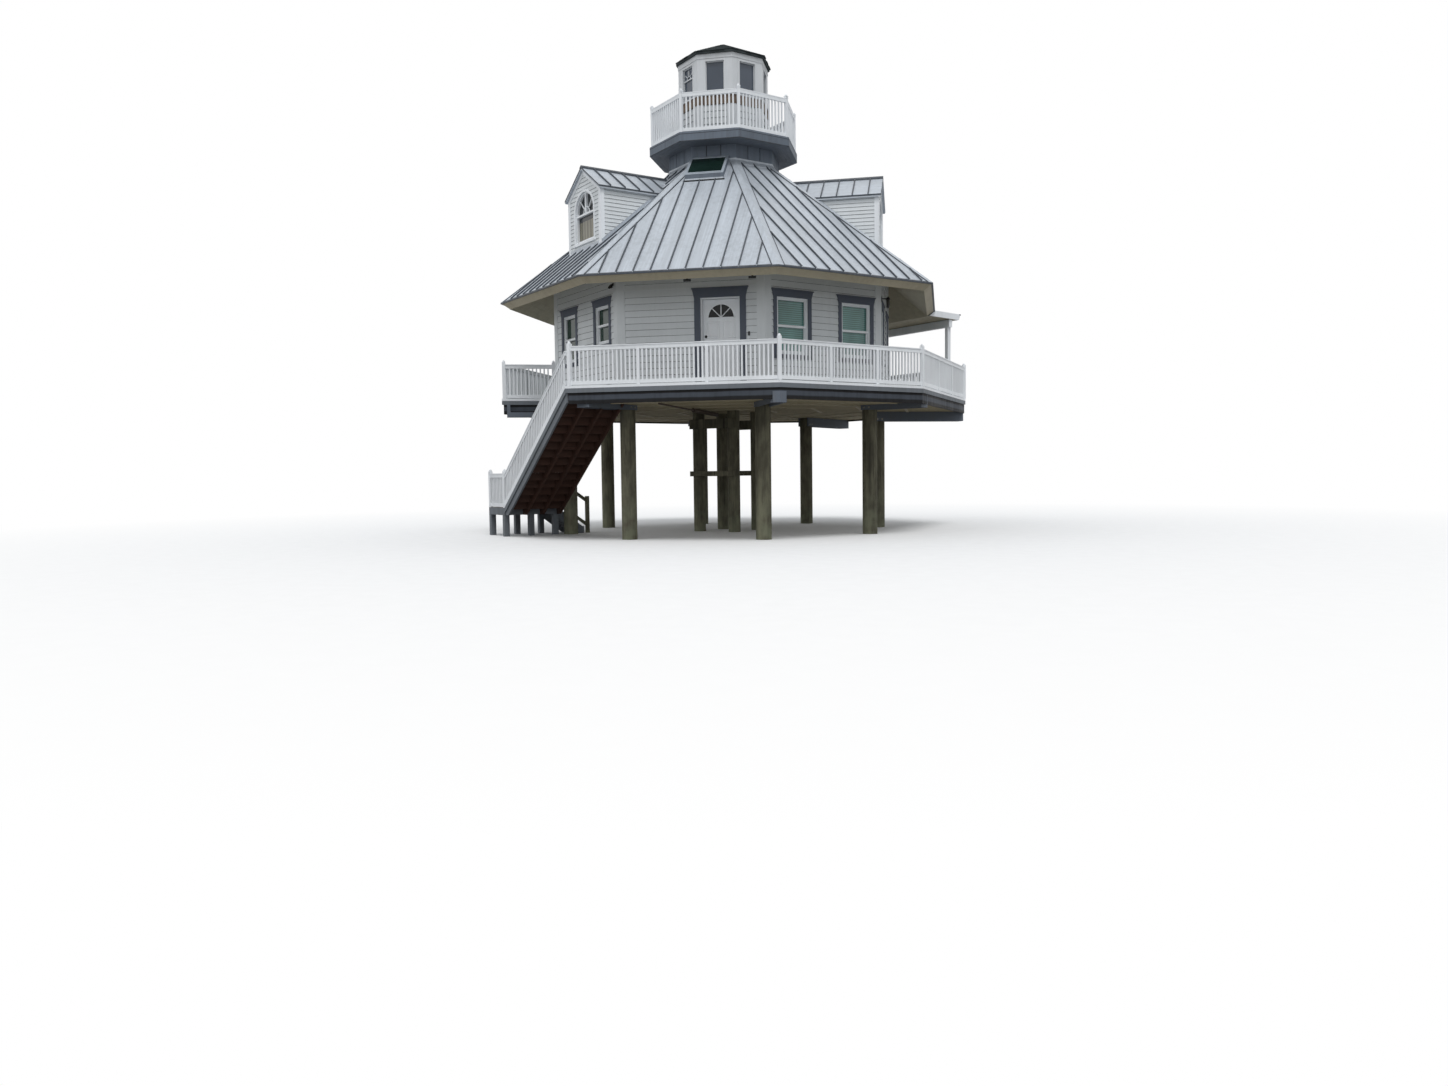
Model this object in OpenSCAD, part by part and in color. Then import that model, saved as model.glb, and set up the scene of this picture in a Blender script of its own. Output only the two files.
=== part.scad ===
// Octagonal beach tower house on round timber piles, with a wrap-around deck,
// a pyramid roof with two dormers and a skylight, and a railed glazed lantern on top.
// Millimetres, +Z up. The origin is at ground level under the middle of the whole, and
// the front (door) side faces -Y. Sides are numbered 0 (front) to 7, counter-clockwise.

/* [Piles and underside] */
// Distance from the axis to the centre of an outer pile
pile_ring_r = 4400; // [4000:10:4450]
// Diameter of an outer pile
pile_d = 380; // [300:5:420]
// Distance from the axis to the centre of an inner pile
inner_ring_r = 820; // [600:10:1000]
// Diameter of an inner pile
inner_pile_d = 330; // [250:5:400]
// Turn of the square of inner piles from the front
inner_turn = 22.5; // [0:0.5:45]
// Height of the underside of the ceiling below the floor
ceiling_z = 3305; // [3000:5:3500]
// Thickness of that ceiling
ceiling_t = 25; // [10:1:50]
// Depth of a radial beam below the ceiling
radial_beam_h = 125; // [100:5:300]
// How much deeper the two beams at the porch's corners are
porch_girder_drop = 145; // [0:5:200]
// Thickness of each of the two planks of a radial beam
radial_plank_t = 50; // [30:1:80]
// Gap between the two planks, where the pile's tenon stands
radial_plank_gap = 260; // [150:5:280]
// Inner end of a radial beam, from the axis
radial_beam_in = 4240; // [3600:10:4250]
// Outer end of a radial beam, short of the deck's corner
radial_end_inset = 130; // [120:5:400]
// Length of the block between the planks at the outer end
end_block_t = 90; // [30:5:150]
// Bottom of the upper beams between the inner piles
inner_beam_z = 2835; // [2500:5:3000]
// Depth of those beams
inner_beam_h = 260; // [150:5:300]
// Bottom of the low board between the inner piles
low_board_z = 1530; // [1000:10:2000]
// Depth of that board
low_board_h = 140; // [80:5:200]
// Thickness of the boards between the inner piles
inner_board_t = 50; // [30:1:80]

/* [Floor and deck] */
// Top of the deck boards above the ground
deck_z = 3620; // [3400:10:3900]
// Thickness of the deck boards
deck_board_t = 38; // [25:1:60]
// Distance from the axis to the deck's straight edges
deck_a = 5700; // [5400:10:6000]
// How far the front edge runs past the octagon's corner at the stair
front_run_on = 340; // [0:10:500]
// Distance from the axis to the deck's corner at the right
right_start = 5450; // [5250:10:5650]
// How far the deck's edge at the porch stands past the porch beam's middle
porch_deck_past = 180; // [100:5:400]
// Length of that edge
porch_deck_w = 5470; // [5000:10:5800]
// Height of the grey fascia under the curb
fascia_h = 105; // [60:1:160]
// Thickness of that fascia
fascia_t = 30; // [15:1:50]
// Thickness of the rim joist behind it
rim_t = 50; // [30:1:80]
// How far the rim joist hangs below the ceiling
rim_drop = 45; // [10:1:80]
// Height of the white curb that carries the railing
curb_h = 60; // [30:1:100]
// Width of the curb
curb_w = 90; // [60:1:140]
// Thickness of a floor joist
joist_t = 45; // [30:1:80]
// Distance between the joists of a bay
joist_step = 1150; // [400:10:1250]
// Top of the house floor above the deck
floor_step = 70; // [20:5:120]
// Hairline left between pieces that meet in one assembly
seam = 0.3; // [0.2:0.1:1]

/* [Railing] */
// Height of the top of the railing above the curb
rail_h = 905; // [800:5:1100]
// Height of the top rail
top_rail_h = 100; // [40:1:120]
// Height of the bottom rail
bottom_rail_h = 85; // [40:1:100]
// Gap between the curb and the bottom rail
bottom_rail_gap = 20; // [5:1:60]
// Thickness of the top and bottom rails
rail_t = 50; // [38:1:80]
// Side of a baluster
baluster_w = 38; // [25:1:45]
// Largest distance between balusters, centre to centre
baluster_step = 104; // [90:1:130]
// Side of a post between two bays
bay_post_w = 70; // [50:1:90]
// Side of a corner post
post_w = 90; // [75:1:110]
// Height of a corner post above the top rail, without its ball
post_up = 60; // [20:5:120]
// Diameter of the ball on a corner post
ball_d = 70; // [50:1:90]
// Depth to which a ball is sunk in its post
ball_sunk = 8; // [4:1:20]
// Bays along each side of the deck
bays = 3; // [1:1:5]

/* [Stair] */
// Number of risers from the landing up to the deck
risers = 15; // [12:1:18]
// Number of risers from the ground up to the landing
lower_risers = 4; // [2:1:6]
// Going of one step
going = 260; // [230:1:300]
// Thickness of a tread
tread_t = 40; // [25:1:60]
// How far a tread's nose stands over the riser below
nosing = 25; // [10:1:40]
// Thickness of a riser board
riser_t = 20; // [12:1:30]
// Number of stringers
stringers = 4; // [3:1:5]
// Thickness of a stringer
stringer_t = 50; // [35:1:70]
// Depth of a stringer below the line of the noses, plumb
stringer_drop = 330; // [300:5:400]
// Depth of the facing board on the outer stringer, plumb
stair_fascia_h = 135; // [80:5:200]
// Height of the white curb along the outer stringer, plumb
stair_curb_h = 72; // [40:1:120]
// Clear gap between the stair and the house wall
stair_wall_gap = 40; // [10:5:100]
// Length of the landing along the stair
landing_l = 1100; // [1000:10:1300]
// Depth of the landing's frame
landing_frame_h = 195; // [100:5:220]
// Side of a landing post
landing_post_w = 140; // [90:5:180]
// Space left for the outer pile beside the lower flight
lower_inset = 130; // [110:5:200]
// Depth of a stringer of the lower flight at the landing
lower_stringer_h = 330; // [250:5:400]
// Height of the lower flight's newel post
newel_h = 1020; // [900:10:1200]
// Distance of the newel post past the last step
newel_past = 130; // [60:5:200]
// Height of the stair's railing above the noses, plumb
stair_rail_h = 870; // [800:5:1000]

/* [House walls] */
// Distance from the axis to the outer face of the walls
wall_a = 4350; // [4200:10:4400]
// Thickness of a wall
wall_t = 150; // [100:5:200]
// Width of a corner board on each wall
corner_board_w = 185; // [120:5:240]
// Thickness of a corner board
corner_board_t = 22; // [12:1:40]
// Height of the heads of doors and windows above the curb's top
head_z = 2100; // [2000:10:2300]
// Width of a house window
window_w = 940; // [700:10:1000]
// Width of a left front window
narrow_window_w = 740; // [600:10:900]
// Height of a window's sill above the curb's top
sill_z = 740; // [600:10:1200]
// The same for the first left front window
left_sill_z = 860; // [600:10:1300]
// The same for the second left front window
high_sill_z = 1150; // [900:10:1400]
// Distance of a window's middle from the middle of its wall
window_x = 990; // [900:5:990]
// Shift of the first left front window towards the middle
left_window_shift = 105; // [0:5:200]
// Width of the dark casing round a window or door
casing_w = 100; // [60:5:130]
// Thickness of a casing
casing_t = 28; // [15:1:40]
// Height of the head casing
head_casing_h = 165; // [100:5:200]
// How far the head casing's top flares past the side casings
head_flare = 50; // [30:5:50]
// Width of a window frame's face
sash_w = 55; // [35:1:80]
// Depth of a window frame
sash_d = 70; // [40:5:100]
// Depth of the frame behind the wall's face
sash_back = 20; // [5:1:60]
// Thickness of a pane
glass_t = 8; // [4:1:20]

/* [Entrance door] */
// Distance of the door's middle from the middle of the front wall
door_x = 730; // [500:10:900]
// Width of the dark casing beside the door
door_casing_w = 150; // [100:5:180]
// Height of the casing over the door
door_head_casing_h = 210; // [130:5:240]
// Width of the door leaf
leaf_w = 880; // [760:5:960]
// Thickness of the door leaf
leaf_t = 44; // [35:1:60]
// Thickness of the door's jambs and head
jamb_t = 32; // [20:1:50]
// Running gap round the leaf
leaf_gap = 6; // [5:0.5:10]
// Height of the threshold above the deck
threshold_h = 90; // [50:5:120]
// Height of a hinge
hinge_h = 105; // [75:1:130]
// Width of a hinge's plate from its axis
hinge_w = 28; // [20:1:40]
// Thickness of a hinge's plate
hinge_plate_t = 3; // [2:0.5:5]
// Radius of a hinge's knuckle
knuckle_r = 8; // [6:0.5:12]
// Gap between a hinge's knuckles
knuckle_gap = 1; // [0.5:0.5:2]
// Radius of a hinge's pin
hinge_pin_r = 4; // [3:0.5:6]
// Running play round the pin
hinge_play = 0.05; // [0.02:0.01:0.1]
// Distance of the outer hinges from the leaf's ends
hinge_end = 220; // [150:10:350]
// Radius of the half-round light in the leaf
fan_r = 320; // [200:5:340]
// Height of that light's base above the leaf's foot
fan_up = 1600; // [1400:10:1650]
// Diameter of the door knob
knob_d = 60; // [45:1:75]
// Distance of the knob from the leaf's edge
knob_in = 70; // [55:1:100]
// Distance of the knob's middle from the leaf's face
knob_out = 55; // [45:1:70]
// Height of the knob above the leaf's foot
knob_up = 860; // [800:10:1100]

/* [Main roof] */
// Distance from the axis to the eave's edge
eave_a = 5665; // [5500:5:5800]
// Height of the eave's top edge
eave_z = 6215; // [6100:5:6400]
// Rise of the roof for each unit of run
roof_rise = 0.833; // [0.7:0.001:0.95]
// Thickness of the metal roof and its boarding, plumb
roof_skin_t = 60; // [30:1:100]
// How far the sloping fascia comes in below the eave's edge
fascia_in = 215; // [120:5:260]
// How far that fascia comes down
fascia_drop = 160; // [120:5:220]
// Half width of a hip cap
hip_cap_w = 150; // [80:5:200]
// Height of a hip cap above the roof
hip_cap_t = 14; // [8:1:30]

/* [Standing seams] */
// Distance between two standing seams
rib_step = 410; // [300:5:600]
// Height of a standing seam above the metal, plumb
rib_h = 34; // [15:1:50]
// Width of a standing seam
rib_w = 24; // [10:1:40]
// Shift of the seams from the middle on every second side
rib_shift = -50; // [-200:5:200]
// Distance of the first seam of a dormer's roof from its front edge
dormer_rib_in = 330; // [50:5:400]
// Distance of a dormer's seams from its ridge
ridge_gap = 60; // [10:5:100]

/* [Dormers and skylight] */
// Sides of the house that have a dormer
dormer_sides = [7, 2];
// Distance from the axis to a dormer's front
dormer_a = 4250; // [4000:10:4600]
// Shift of a dormer from the middle of its side
dormer_x = -80; // [-85:5:85]
// Width of a dormer
dormer_w = 1800; // [1500:10:2000]
// Thickness of a dormer's walls
dormer_wall_t = 120; // [80:5:160]
// Height of a dormer's ridge
dormer_ridge_z = 9430; // [9100:10:9450]
// Rise of a dormer's roof for each unit of run
dormer_rise = 0.667; // [0.5:0.001:0.8]
// Thickness of a dormer's roof, plumb
dormer_roof_t = 70; // [40:5:120]
// Overhang of a dormer's roof at its front
dormer_rake = 80; // [40:5:150]
// Overhang of a dormer's roof at its sides
dormer_eave = 80; // [40:5:150]
// Width of a dormer's window
dormer_win_w = 1060; // [700:10:1100]
// Height of a dormer window's sill
dormer_sill_z = 7550; // [7540:10:7900]
// Height at which a dormer window's arch starts
dormer_spring_z = 8290; // [8200:10:8300]
// Width of the skylight
skylight_w = 1010; // [800:10:1050]
// Shift of the skylight from the middle of the front
skylight_x = -100; // [-100:5:100]
// Distance from the axis to the skylight's upper end
skylight_in = 1450; // [1410:5:1500]
// Distance from the axis to its lower end
skylight_out = 2190; // [1950:10:2300]
// Height of the skylight's curb above the roof, plumb
skylight_h = 170; // [100:5:250]
// Thickness of the skylight's curb
skylight_curb_t = 60; // [40:5:90]

/* [Lantern] */
// Distance from the axis to the neck's outer face
neck_a = 1400; // [1250:5:1405]
// Thickness of the neck
neck_t = 100; // [60:5:150]
// Height of the underside of the lantern's walk
walk_z = 10210; // [10100:10:10300]
// Depth of the walk's edge
walk_h = 246; // [150:1:300]
// Distance from the axis to the walk's edge
walk_a = 1893; // [1750:5:2000]
// Height of the lantern's railing
lantern_rail_h = 1000; // [900:10:1100]
// Side of a post of the lantern's railing
lantern_post_w = 75; // [60:1:90]
// Distance of the railing's posts from the walk's edge
lantern_rail_in = 60; // [45:5:100]
// Distance from the axis to the lantern's walls
lantern_a = 1131; // [1000:1:1200]
// Thickness of the lantern's walls
lantern_t = 90; // [60:5:120]
// Height of the lantern's walls
lantern_h = 2200; // [2100:10:2400]
// Width of a lantern window
lantern_win_w = 500; // [400:10:600]
// Height of the foot of a lantern window above the walk
lantern_sill = 1120; // [1110:5:1200]
// Height of the head of a lantern window above the walk
lantern_head = 2010; // [1900:10:2050]
// Height of the band under the windows
band_h = 232; // [150:1:300]
// Thickness of that band
band_t = 30; // [15:1:50]
// Distance from the axis to the edge of the lantern's roof
cap_a = 1205; // [1190:5:1300]
// Thickness of that roof at its edge
cap_edge_h = 70; // [40:5:120]
// Height of that roof's point above its edge
cap_h = 580; // [400:10:700]

/* [Porch roof] */
// Depth of the porch roof out from the eave
porch_d = 1005; // [800:5:1300]
// Fall of the porch roof over its depth
porch_fall = 45; // [20:5:100]
// Height of the porch roof's edge
porch_edge_h = 160; // [100:5:200]
// How far that edge leans in at its foot
porch_lean = 60; // [0:5:120]
// Distance of the porch beam's middle in from the porch roof's edge
porch_beam_in = 340; // [200:5:400]
// Width of the porch beam and its posts
porch_post_w = 115; // [90:5:150]
// Height of the underside of the porch beam
porch_beam_z = 5790; // [5600:5:5850]
// Depth of the porch beam
porch_beam_h = 215; // [150:5:230]
// Length of the porch beam
porch_beam_l = 4640; // [4400:10:4690]
// Distance of a porch post's middle in from the beam's end
porch_post_in = 120; // [60:5:400]

/* [Lights] */
// Width of the wall light's body
wall_light_w = 120; // [80:5:200]
// Height of the body's foot above the deck's curb
wall_light_up = 2060; // [1700:10:2200]
// Height of the body
wall_light_h = 300; // [200:5:400]
// Distance of the body's middle from the wall's face
wall_light_out = 190; // [120:5:260]
// Width and height of its plate on the wall
light_plate = 90; // [60:5:140]

/* [Hidden] */
$fn = 48;
SIDES = 8;
// Depth to which parts of one solid run into each other
lap = 1;
HALF = 180 / SIDES;
SIN45 = sin(45);

// Plan of the octagon
function along(k) = [cos(45 * k), sin(45 * k)];
function outward(k) = [sin(45 * k), -cos(45 * k)];
function corner(a, k) = a / cos(HALF) * [cos(45 * k - 90 - HALF), sin(45 * k - 90 - HALF)];
function on_side(k, a, x) = a * outward(k) + x * along(k);
function half_side(a) = a * tan(HALF);
function unit(v) = v / norm(v);
function left_of(v) = [-v.y, v.x];

// Insets a closed outline, given counter-clockwise, by the distance d
function inset_point(a, p, b, d) =
    let (n1 = left_of(unit(p - a)), n2 = left_of(unit(b - p)))
    p + d * (n1 + n2) / (1 + n1 * n2);
function inset(pts, d) = [for (i = [0:len(pts) - 1])
    inset_point(pts[(i + len(pts) - 1) % len(pts)], pts[i], pts[(i + 1) % len(pts)], d)];

// One board of the outline's edge i, between two insets, cut short at both mitres
function edge_board(pts, i, d1, d2) =
    let (o = inset(pts, d1), n = inset(pts, d2), j = (i + 1) % len(pts),
        u = seam / 2 * unit(pts[j] - pts[i]))
    [o[i] + u, o[j] - u, n[j] - u, n[i] + u];

// The porch's lines, all out from the eave
porch_a = eave_a + porch_d;
porch_beam_a = porch_a - porch_beam_in;
porch_deck_a = porch_beam_a + porch_deck_past;

// Deck outline: the corners by side, then the notch where the stair comes up
stair_a = (deck_a + half_side(deck_a) + front_run_on) * SIN45;
stair_t = (deck_a - half_side(deck_a) - front_run_on) * SIN45;
deck_corners = [
    corner(deck_a, 0) - [front_run_on, 0],
    corner(deck_a, 1),
    [right_start, right_start - deck_a / SIN45],
    on_side(3, porch_deck_a, -porch_deck_w / 2),
    on_side(3, porch_deck_a, porch_deck_w / 2),
    [right_start - deck_a / SIN45, right_start],
    corner(deck_a, 6),
    corner(deck_a, 7)];
notch = [
    corner(wall_a, 7),
    corner(wall_a, 0),
    [stair_t / SIN45 - wall_a, -wall_a]];
outline = concat(deck_corners, notch);

// The origin is under the middle of the whole, so the octagon's axis stands off it
foot_corner = on_side(7, stair_a, stair_t - risers * going - landing_l);
axis_x = -(deck_corners[3].x + foot_corner.x) / 2;
axis_y = -(deck_corners[4].y - deck_a) / 2;

curb_z = deck_z + curb_h;
floor_z = deck_z + floor_step;
joist_z = ceiling_z + ceiling_t;
boards_z = deck_z - deck_board_t;
pile_top = ceiling_z - seam;
fascia_foot = deck_z - fascia_h;

// Radial beams: foot, outer end and width
function beam_foot(k) = ceiling_z - radial_beam_h - (k == 3 || k == 4 ? porch_girder_drop : 0);
function beam_end(k) = norm(k == 0 ? corner(deck_a, 0) : deck_corners[k]) - radial_end_inset;
beam_w = radial_plank_gap + 2 * radial_plank_t;

// Stair, in the frame of side 7: x runs up the stair and y runs in to the wall
rise = deck_z / (risers + lower_risers);
landing_z = rise * lower_risers;
stair_in = wall_a + stair_wall_gap;
stair_w = stair_a - stair_in;
stair_foot = stair_t - risers * going;
stair_end = stair_t - seam;
pitch = rise / going;

// Main roof, as heights over the distance a from the axis
function roof_top(a) = eave_z + (eave_a - a) * roof_rise;
function roof_board(a) = roof_top(a) - roof_skin_t;
function roof_under(a) = eave_z - fascia_drop + (eave_a - fascia_in - a) * roof_rise;
function roof_reach(z) = eave_a - (z - eave_z) / roof_rise;

head = curb_z + head_z;
wall_in = wall_a - wall_t;
walk_top = walk_z + walk_h;
lantern_top = walk_top + lantern_h;
leaf_foot = deck_z + threshold_h + leaf_gap;
door_w = leaf_w + 2 * (leaf_gap + jamb_t);
leaf_h = head - jamb_t - leaf_gap - leaf_foot;
dormer_eave_z = dormer_ridge_z - dormer_rise * dormer_w / 2;

// Colours as the weathered paint and timber show
WHITE = [0.86, 0.87, 0.87];
SIDING = [0.78, 0.79, 0.79];
SLATE = [0.25, 0.27, 0.30];
GREY = [0.36, 0.38, 0.40];
CREAM = [0.66, 0.62, 0.50];
TIMBER = [0.38, 0.36, 0.28];
REDWOOD = [0.33, 0.22, 0.17];
METAL = [0.62, 0.64, 0.66];
GLASS = [0.32, 0.40, 0.38];
PLANKS = [0.45, 0.44, 0.42];

// Puts the house's axis where it stands from the middle of the whole
module at_axis() {
    translate([axis_x, axis_y, 0]) children();
}

// Puts a shape on a side: x along it, y in towards the axis, z up, y = 0 at distance a
module on_face(k, a = 0) {
    rotate([0, 0, 45 * k]) translate([0, -a, 0]) children();
}

// Prism of an outline between two heights
module slab(pts, z1, z2) {
    translate([0, 0, z1]) linear_extrude(z2 - z1) polygon(pts);
}

// Octagonal prism
module octagon(a, z1, z2) {
    slab([for (k = [0:SIDES - 1]) corner(a, k)], z1, z2);
}

// Wedge of one side, cut short at both mitres
module side_wedge(k, a, z1, z2) {
    cut = seam / 2 / sin(HALF);
    on_face(k) slab([[0, -cut], [-half_side(a - cut), -a], [half_side(a - cut), -a]], z1, z2);
}

// Profile of points [distance from the axis, height], run w wide along side k
module ribbon(k, w, profile) {
    on_face(k) rotate([90, 0, -90]) translate([0, 0, -w / 2]) linear_extrude(w) polygon(profile);
}

// The same, along the whole side and mitred at both corners
module side_profile(k, profile) {
    reach = max([for (p = profile) p.x]) + lap;
    intersection() {
        ribbon(k, 2 * reach, profile);
        side_wedge(k, reach, min([for (p = profile) p.y]) - lap,
            max([for (p = profile) p.y]) + lap);
    }
}

// Extrusion of an [x, z] shape through a wall, from y1 to y2 inwards of its face
module through(y1, y2) {
    translate([0, y2, 0]) rotate([90, 0, 0]) linear_extrude(y2 - y1) children();
}

module rect(x1, x2, z1, z2) {
    polygon([[x1, z1], [x2, z1], [x2, z2], [x1, z2]]);
}

// Opening with a half-round head
module arch(w, z1, spring) {
    rect(-w / 2, w / 2, z1, spring);
    translate([0, spring]) intersection() {
        circle(d = w);
        rect(-w, w, 0, w);
    }
}

// Piles: the top of an outer pile is a flat tenon between the planks of its beam
module outer_piles() {
    color(TIMBER) at_axis() for (k = [0:SIDES - 1]) rotate([0, 0, 45 * k - 90 - HALF])
        translate([pile_ring_r, 0, 0]) {
            cylinder(d = pile_d, h = beam_foot(k));
            intersection() {
                translate([0, 0, beam_foot(k)]) cylinder(d = pile_d, h = pile_top - beam_foot(k));
                translate([-pile_d, -radial_plank_gap / 2, 0])
                    cube([2 * pile_d, radial_plank_gap, pile_top]);
            }
        }
}

function inner_turn_of(i) = 90 * i - 90 + inner_turn;

module inner_piles() {
    color(TIMBER) at_axis() for (i = [0:3]) rotate([0, 0, inner_turn_of(i)])
        translate([inner_ring_r, 0, 0]) cylinder(d = inner_pile_d, h = pile_top);
}

// Boards on two sides of the square of inner piles, high and low
module inner_beams() {
    reach = inner_ring_r * SIN45 + inner_pile_d / 2;
    len = 2 * reach;
    color(TIMBER) at_axis() rotate([0, 0, inner_turn - 45]) for (s = [0, 1]) mirror([0, s, 0])
        for (board = [[inner_beam_z, inner_beam_h], [low_board_z, low_board_h]])
            translate([-len / 2, reach, board[0]]) cube([len, inner_board_t, board[1]]);
}

// Two planks, the block between their outer ends, and its head in front of the rim joists
module radial_beam(k) {
    out = beam_end(k);
    h = pile_top - beam_foot(k);
    rotate([0, 0, 45 * k - 90 - HALF]) {
        for (s = [0, 1]) mirror([0, s, 0])
            translate([radial_beam_in, radial_plank_gap / 2, beam_foot(k)])
                cube([out - radial_beam_in, radial_plank_t, h]);
        translate([out - end_block_t, -radial_plank_gap / 2 - lap, beam_foot(k)])
            cube([end_block_t, radial_plank_gap + 2 * lap, h]);
        if (k > 0) translate([out - end_block_t, -beam_w / 2, pile_top - lap])
            cube([end_block_t, beam_w, fascia_foot - seam - pile_top + lap]);
    }
}

// Space that a beam takes up below the ceiling, and its head above that
module beam_space(k) {
    side = beam_w + 2 * seam;
    out = beam_end(k) + seam;
    head_t = end_block_t + 2 * seam;
    rotate([0, 0, 45 * k - 90 - HALF]) translate([0, -side / 2, 0]) {
        translate([0, 0, beam_foot(k) - seam]) cube([out, side, pile_top - beam_foot(k) + 2 * seam]);
        if (k > 0) translate([out - head_t, 0, pile_top]) cube([head_t, side, fascia_foot - pile_top]);
    }
}

module radial_beams() {
    color(GREY) at_axis() for (k = [0:SIDES - 1]) radial_beam(k);
}

// Board of the deck's edge i, stopped short of the house wall
module deck_edge(i, d1, d2, z1, z2, off_wall = 0) {
    difference() {
        slab(edge_board(outline, i, d1, d2), z1, z2);
        octagon(wall_a + off_wall + seam, z1 - lap, z2 + lap);
    }
}

// One bay of the deck between its edge, set in by d, and the house
module deck_bay(k, d, z1, z2) {
    edge = inset(outline, d);
    a = wall_a + seam;
    near = k == 0 ? [notch[2].x + d / SIN45, -a] : corner(a, k);
    far = corner(a, k + 1) - (k == SIDES - 2 ? d / cos(HALF) : 0) * along(k);
    u = seam / 2 * unit(edge[k + 1] - edge[k]);
    slab([edge[k] + u, edge[k + 1] - u, far - u, near + u], z1, z2);
}

// Ceiling under the house and under each bay of the deck
module underside_ceiling() {
    color(CREAM) at_axis() difference() {
        union() {
            octagon(wall_a, ceiling_z, joist_z);
            for (k = [0:SIDES - 2]) deck_bay(k, fascia_t + rim_t + seam, ceiling_z, joist_z);
        }
        for (k = [0:SIDES - 1]) beam_space(k);
    }
}

// Rim joists round the outline, the house's own rim, and joists across each bay
module floor_frame() {
    rim = fascia_t + rim_t;
    color(SLATE) at_axis() {
        difference() {
            for (i = [0:SIDES - 1]) deck_edge(i, fascia_t, rim, ceiling_z - rim_drop, boards_z);
            for (k = [0:SIDES - 1]) beam_space(k);
        }
        deck_edge(len(outline) - 1, fascia_t, rim, ceiling_z, boards_z);
        for (k = [0:SIDES - 1]) {
            side_profile(k, [[wall_in, joist_z], [wall_a, joist_z], [wall_a, deck_z],
                [wall_in, deck_z]]);
            if (k < SIDES - 1) for (x = [-1, 0, 1]) bay_joist(k, x * joist_step, rim);
        }
    }
}

// Joist square to the house wall, from the wall out to the rim joist
module bay_joist(k, x, rim) {
    intersection() {
        on_face(k) translate([x - joist_t / 2, -2 * deck_a, joist_z])
            cube([joist_t, 2 * deck_a - wall_a - seam, boards_z - joist_z]);
        slab(inset(deck_corners, rim + seam), joist_z, boards_z);
    }
}

module house_floor() {
    color(PLANKS) at_axis() octagon(wall_in - seam, joist_z, floor_z);
}

// Deck boards of each side that has a deck, mitred at the corners
module deck_boards() {
    color(PLANKS) at_axis() for (k = [0:SIDES - 2]) deck_bay(k, fascia_t, boards_z, deck_z);
}

module deck_fascia() {
    color(GREY) at_axis() for (i = [for (j = [0:SIDES - 1]) j, len(outline) - 1])
        deck_edge(i, 0, fascia_t - seam, fascia_foot, deck_z);
}

module deck_curb() {
    color(WHITE) at_axis() for (i = [0:SIDES - 1])
        deck_edge(i, 0, curb_w, deck_z, curb_z, corner_board_t);
}

// Corner posts of the deck's railing, with a ball on top, and one at the house wall
rail_line = inset(outline, curb_w / 2);
post_h = rail_h + post_up;
wall_ray = unit(corner(1, SIDES - 1));
wall_turn = atan2(wall_ray.y, wall_ray.x);
function post_turn(i) = 45 * i - HALF;
wall_post = ((wall_a + corner_board_t) / cos(HALF) + post_w / 2 + seam) * wall_ray
    - curb_w / 2 * left_of(wall_ray);

module rail_post(p, z, h, w, turn) {
    translate([p.x, p.y, z]) rotate([0, 0, turn]) {
        translate([-w / 2, -w / 2, 0]) cube([w, w, h]);
        translate([0, 0, h + ball_d / 2 - ball_sunk]) sphere(d = ball_d);
    }
}

// Space that a post leaves free in the railing beside it
module post_space(p, z, w, turn) {
    side = w + 2 * seam;
    translate([p.x, p.y, z]) rotate([0, 0, turn]) translate([-side / 2, -side / 2, -lap])
        cube([side, side, 2 * rail_h]);
}

module deck_posts() {
    color(WHITE) at_axis() {
        for (i = [0:SIDES - 1]) rail_post(rail_line[i], curb_z, post_h, post_w, post_turn(i));
        rail_post(wall_post, curb_z, post_h, post_w, wall_turn);
    }
}

// Straight railing of length l from x = 0, its balusters clear of both ends
module railing(l, n_bays, h, end) {
    top = h - top_rail_h;
    foot = bottom_rail_gap + bottom_rail_h;
    bay = (l - 2 * end) / n_bays;
    n = ceil(bay / baluster_step);
    translate([0, -rail_t / 2, top]) cube([l, rail_t, top_rail_h]);
    translate([0, -rail_t / 2, bottom_rail_gap]) cube([l, rail_t, bottom_rail_h]);
    for (b = [0:n_bays - 1], i = [1:n - 1])
        translate([end + b * bay + i * bay / n - baluster_w / 2, -baluster_w / 2, foot - lap])
            cube([baluster_w, baluster_w, top - foot + 2 * lap]);
    if (n_bays > 1) for (b = [1:n_bays - 1])
        translate([end + b * bay - bay_post_w / 2, -bay_post_w / 2, 0])
            cube([bay_post_w, bay_post_w, top + lap]);
}

// Railing between the middles of two posts, cut back to their faces
module railing_between(p, q, turns, z, n_bays, h = rail_h, w = post_w) {
    difference() {
        translate([p.x, p.y, z]) rotate([0, 0, atan2(q.y - p.y, q.x - p.x)])
            railing(norm(q - p), n_bays, h, w / 2);
        post_space(p, z, w, turns[0]);
        post_space(q, z, w, turns[1]);
    }
}

module deck_rail(i) {
    color(WHITE) at_axis() railing_between(rail_line[i], rail_line[i + 1],
        [post_turn(i), post_turn(i + 1)], curb_z, bays);
}

module front_rail() { deck_rail(0); }
module right_rails() { for (i = [1, 2]) deck_rail(i); }
module porch_rail() { deck_rail(3); }
module rear_rails() { for (i = [4:6]) deck_rail(i); }

module left_end_rail() {
    color(WHITE) at_axis() railing_between(rail_line[SIDES - 1], wall_post,
        [post_turn(SIDES - 1), wall_turn], curb_z, 1);
}

// Line of the noses: height over x
function nose_z(x) = deck_z - (stair_t - x) * pitch;

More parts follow.
